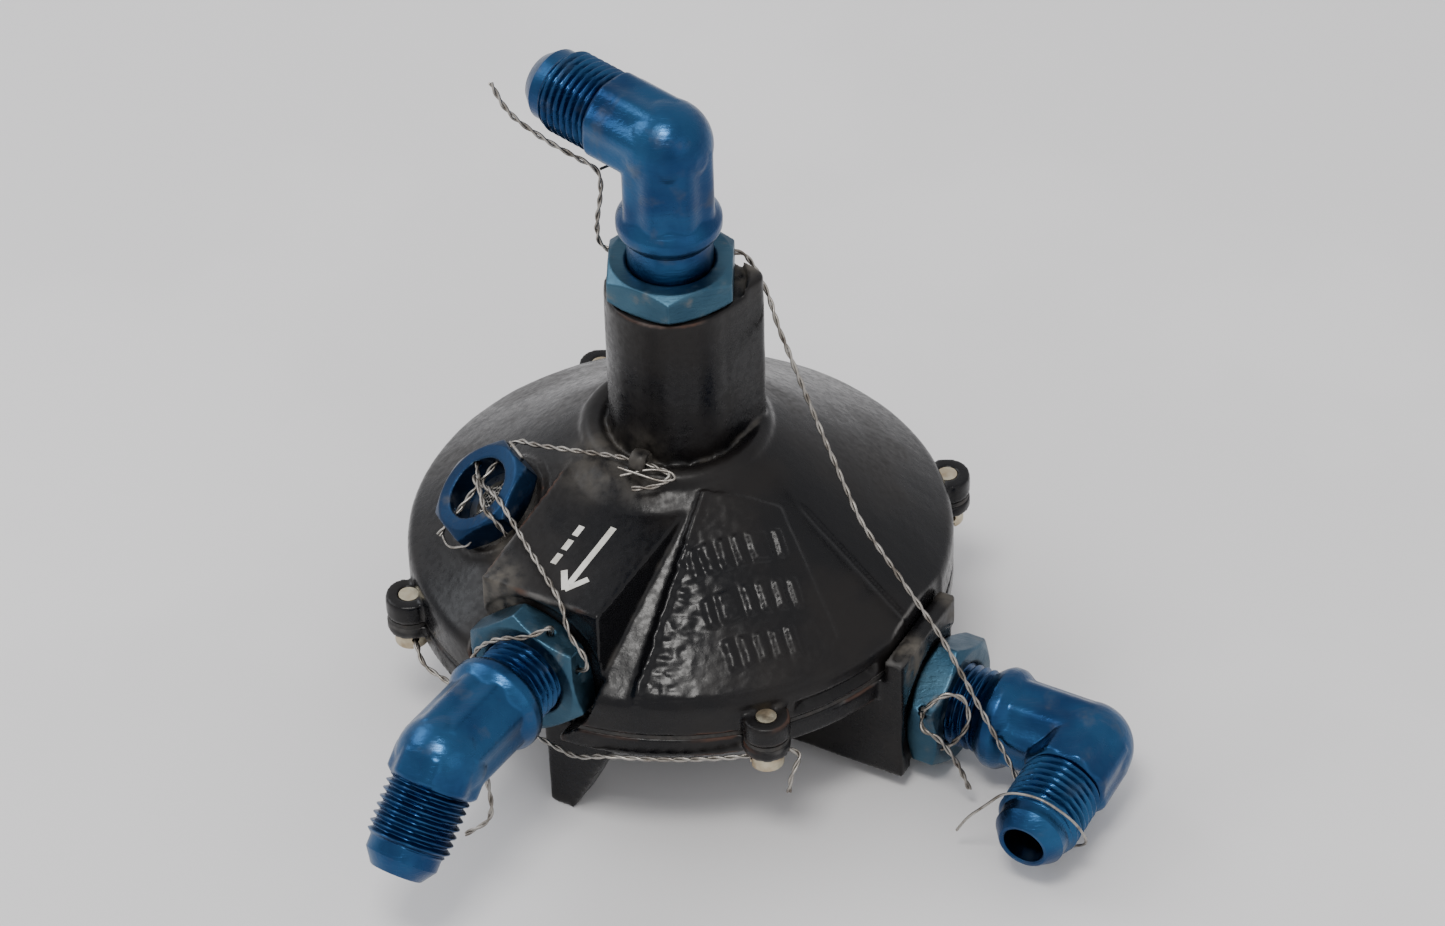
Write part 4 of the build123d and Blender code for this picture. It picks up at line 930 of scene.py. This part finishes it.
def make_elbow(name, port, bend, length, finishes, bare_neck=False):
    """Elbow: soft forging between two crisp machined ends; a bare neck has no thread by its nut."""
    turn = math.radians(bend)
    axes = port.to_3x3()
    outlet = axes @ Vector((math.sin(turn), 0, math.cos(turn)))
    corner = placed(port @ Vector((0, 0, CORNER_REACH)), axes @ Vector((0, 1, 0)), outlet)
    thread_start = length - FLARE_NOSE - FLARE_THREAD
    finish = finishes["blue_anodised"]
    elbow = forged_body(f"{name}_detailed", port, corner, thread_start, finish)
    cutter = bore_cutter(port, corner, length)
    modified(elbow, ("BOOLEAN", {"object": cutter, "operation": "DIFFERENCE", "solver": "MANIFOLD"}))
    bpy.data.objects.remove(cutter)
    mark_edges(elbow.data, FORGING_VOXEL, gain=6.0)
    neck = thread_rows(NECK_START, NECK_END)
    if bare_neck:
        neck = [(THREAD_RADIUS, NECK_START), (THREAD_RADIUS, NECK_END)]
    ends = bmesh.new()
    thread_end = length - FLARE_NOSE
    lathe(
        ends,
        corner,
        [
            (FITTING_BORE, thread_start - 1.6),
            (THREAD_RADIUS - 0.6, thread_start - 1.6),
            *thread_rows(thread_start - 0.6, thread_end),
            (FLARE_BASE_RADIUS, thread_end + 0.3),
            (FLARE_BASE_RADIUS, length - FLARE_CONE - 0.1),
            (FLARE_BASE_RADIUS - 0.1, length - FLARE_CONE + 0.05),
            (FLARE_TIP_RADIUS + 0.15, length - 0.18),
            (FLARE_TIP_RADIUS - 0.1, length),
            (FITTING_BORE + 0.25, length),
            (FITTING_BORE, length - 0.25),
        ],
        closed=True,
    )
    lathe(
        ends,
        port,
        [
            (FITTING_BORE, -BOSS_END),
            (THREAD_RADIUS - 0.7, -BOSS_END),
            (THREAD_RADIUS, -BOSS_END + 0.7),
            (THREAD_RADIUS, -2.0),
            (FITTING_NECK, -1.6),
            (FITTING_NECK, 2.2),
            *neck,
            (THREAD_RADIUS - 0.9, COLLAR_PLACE - 1.5),
            (FITTING_BORE, COLLAR_PLACE - 1.5),
        ],
        closed=True,
    )
    crisp = new_piece(f"{name}_ends", ends, finish, angle=28)
    joined = join(elbow, crisp, finish)
    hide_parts(name)


def join(first, second, finish):
    """Adds the second piece's mesh to the first, keeping its sharp edges and stored values."""
    builder = bmesh.new()
    builder.from_mesh(first.data)
    builder.from_mesh(second.data)
    bpy.data.objects.remove(second)
    mesh = first.data
    builder.to_mesh(mesh)
    builder.free()
    mesh.materials.clear()
    mesh.materials.append(finish)
    return first


def make_nut(source, slot, finishes, finish=None):
    """Nut or plug with its edges rounded; a finish of its own can take its slot's place."""
    finish = finish or finishes[slot]
    nut = softened(f"{source}_detailed", source, NUT_VOXEL, 3, finish)
    mark_edges(nut.data, NUT_VOXEL, gain=5.0)


def make_screen(finishes):
    """Woven wire screen under the vent plug's bore."""
    place = placed(VENT_ORIGIN, VENT_ACROSS, VENT_AXIS)
    pitch = 0.62
    wire = 0.12
    level = -0.33
    builder = bmesh.new()
    reach = VENT_BORE - 0.05
    count = int(reach / pitch)
    for across in (False, True):
        for k in range(-count, count + 1):
            offset = k * pitch
            half = math.sqrt(reach ** 2 - offset ** 2)
            if half < pitch:
                continue
            steps = max(2, int(2 * half / (pitch / 2)))
            path = []
            for i in range(steps + 1):
                along = -half + 2 * half * i / steps
                wave = math.cos(math.pi * (along / pitch + k + across)) * wire * 0.9
                spot = (offset, along, level + wave) if across else (along, offset, level + wave)
                path.append(place @ Vector(spot) * MM)
            tube(builder, path, wire * MM, 5)
    screen = new_piece("woven_screen", builder, finishes["screen_mesh"])
    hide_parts("vent_screen")


# ---------------------------------------------------------------- lockwire


def rounded_path(points, step=0.45):
    """Points along a wire's run: straight runs with each corner eased by a curve."""
    path = []
    reached = points[0]
    for before, corner, after in zip(points, points[1:], points[2:]):
        arrive = (corner - before).normalized()
        leave = (after - corner).normalized()
        back = min(0.48 * min((corner - before).length, (after - corner).length), WIRE_BEND)
        start = corner - arrive * back
        end = corner + leave * back
        pieces = max(1, int((start - reached).length / step))
        path += [reached.lerp(start, i / pieces) for i in range(pieces)]
        pieces = max(3, int(2 * back / step))
        for i in range(pieces):
            share = i / pieces
            path.append(start.lerp(corner, share).lerp(corner.lerp(end, share), share))
        reached = end
    pieces = max(1, int((points[-1] - reached).length / step))
    path += [reached.lerp(points[-1], i / pieces) for i in range(pieces + 1)]
    return path


def twisted(builder, points, single_from=None):
    """Two strands wound round a wire's run; past single_from they are one bare strand."""
    path = rounded_path(points)
    side = (path[1] - path[0]).orthogonal().normalized()
    frames = []
    walked = 0.0
    for i, spot in enumerate(path):
        way = (path[min(i + 1, len(path) - 1)] - path[max(i - 1, 0)]).normalized()
        side = (side - way * side.dot(way)).normalized()
        if i:
            walked += (spot - path[i - 1]).length
        frames.append((spot, side, way.cross(side), walked))
    last = frames[-1][3] if single_from is None else single_from
    for strand in range(2):
        line = []
        for spot, along, across, walked in frames:
            if strand and walked > last:
                break
            close = 1.0 if walked < last else max(0.0, 1 - (walked - last) / 3)
            wobble = 1 + 0.12 * math.sin(walked * 0.9) + 0.08 * math.sin(walked * 2.3 + strand)
            turn = 2 * math.pi * walked / TWIST_PITCH + math.pi * strand
            offset = (along * math.cos(turn) + across * math.sin(turn)) * STRAND_RADIUS * wobble * close
            line.append((spot + offset) * MM)
        if len(line) > 2:
            tube(builder, line, STRAND_RADIUS * MM)


def single(builder, points):
    """One bare strand."""
    tube(builder, [p * MM for p in rounded_path(points)], STRAND_RADIUS * MM)


def make_lockwire(finish, source, points, extras=(), single_from=None):
    builder = bmesh.new()
    twisted(builder, points, single_from)
    for shape, run in extras:
        shape(builder, run)
    wire = new_piece(f"{source}_twisted", builder, finish, angle=80)
    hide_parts(source)


def run_length(points):
    return sum((b - a).length for a, b in zip(points, points[1:]))


def make_lockwires(finish):
    make_lockwire(finish, "lockwire_flange", FLANGE_WIRE)
    knot = [
        Vector((-9.5, -15.6, 55.6)),
        Vector((-4.5, -15.2, 56.6)),
        Vector((-0.9, -16.0, 56.4)),
        Vector((-0.2, -17.2, 55.8)),
        Vector((-2.8, -17.4, 55.6)),
        Vector((-6.8, -15.8, 56.2)),
        Vector((-9.8, -14.6, 56.6)),
    ]
    plug_corner = [
        at_vent(8.0, 262, 3.2),
        at_vent(10.6, 268, 2.6),
        at_vent(11.0, 290, 2.4),
        at_vent(9.6, 318, 3.0),
        at_vent(8.0, 326, 3.4),
    ]
    far_corner = [at_vent(9.4, 114, 5.8), at_vent(9.9, 80, 5.8), at_vent(8.6, 106, 2.5)]
    make_lockwire(
        finish,
        "lockwire_vent",
        VENT_WIRE,
        ((single, knot), (single, plug_corner), (single, far_corner)),
    )
    tail = [
        at_vent(2.4, 172, 6.0),
        at_vent(1.2, 150, 6.8),
        at_vent(2.6, 20, 7.0),
        at_vent(7.3, 2, 6.7),
        at_vent(9.5, 6, 6.4),
        at_vent(10.7, 3, 2.5),
    ]
    make_lockwire(finish, "lockwire_vent_to_nut", VENT_TO_NUT_WIRE, ((twisted, tail),))
    make_lockwire(finish, "lockwire_front_nut", FRONT_NUT_WIRE)
    split = [
        Vector((-11.0, 7.0, 102.2)),
        Vector((-9.0, 8.0, 102.4)),
        Vector((-6.0, 9.4, 102.0)),
    ]
    make_lockwire(finish, "lockwire_top_nut", TOP_NUT_WIRE, ((single, split),))
    to_nose = run_length(TOP_TO_SIDE_WIRE[:10])
    make_lockwire(finish, "lockwire_top_to_side", TOP_TO_SIDE_WIRE, single_from=to_nose)
    make_lockwire(finish, "lockwire_side_nut", SIDE_NUT_WIRE)


def finish_cad_nodes(finishes):
    """Gives every CAD node that stays its slot's finish."""
    for subpart in frame["record"]["subparts"]:
        node = nodes[subpart["node"]]
        finish = finishes[subpart["material_slot"]]
        if not node.material_slots:
            node.data.materials.append(finish)
        for slot in node.material_slots:
            slot.material = finish


def main():
    make_camera()
    make_surroundings()
    finishes = make_finishes()
    finish_cad_nodes(finishes)
    cover = make_cover(finishes)
    make_housing(finishes)
    make_block_marks(cover, finishes)
    make_elbow("top_elbow", TOP_PORT, 90, TOP_OUTLET_LEG, finishes, bare_neck=True)
    make_elbow("front_elbow", FRONT_PORT, 45, FRONT_OUTLET_LEG, finishes)
    make_elbow("side_elbow", SIDE_PORT, 90, SIDE_OUTLET_LEG, finishes)
    for name in ("top_jam_nut", "front_jam_nut", "side_jam_nut"):
        make_nut(name, "teal_anodised", finishes)
    make_nut("vent_plug", "blue_anodised", finishes, finishes["plug_blue"])
    make_screen(finishes)
    make_lockwires(finishes["lockwire"])


main()
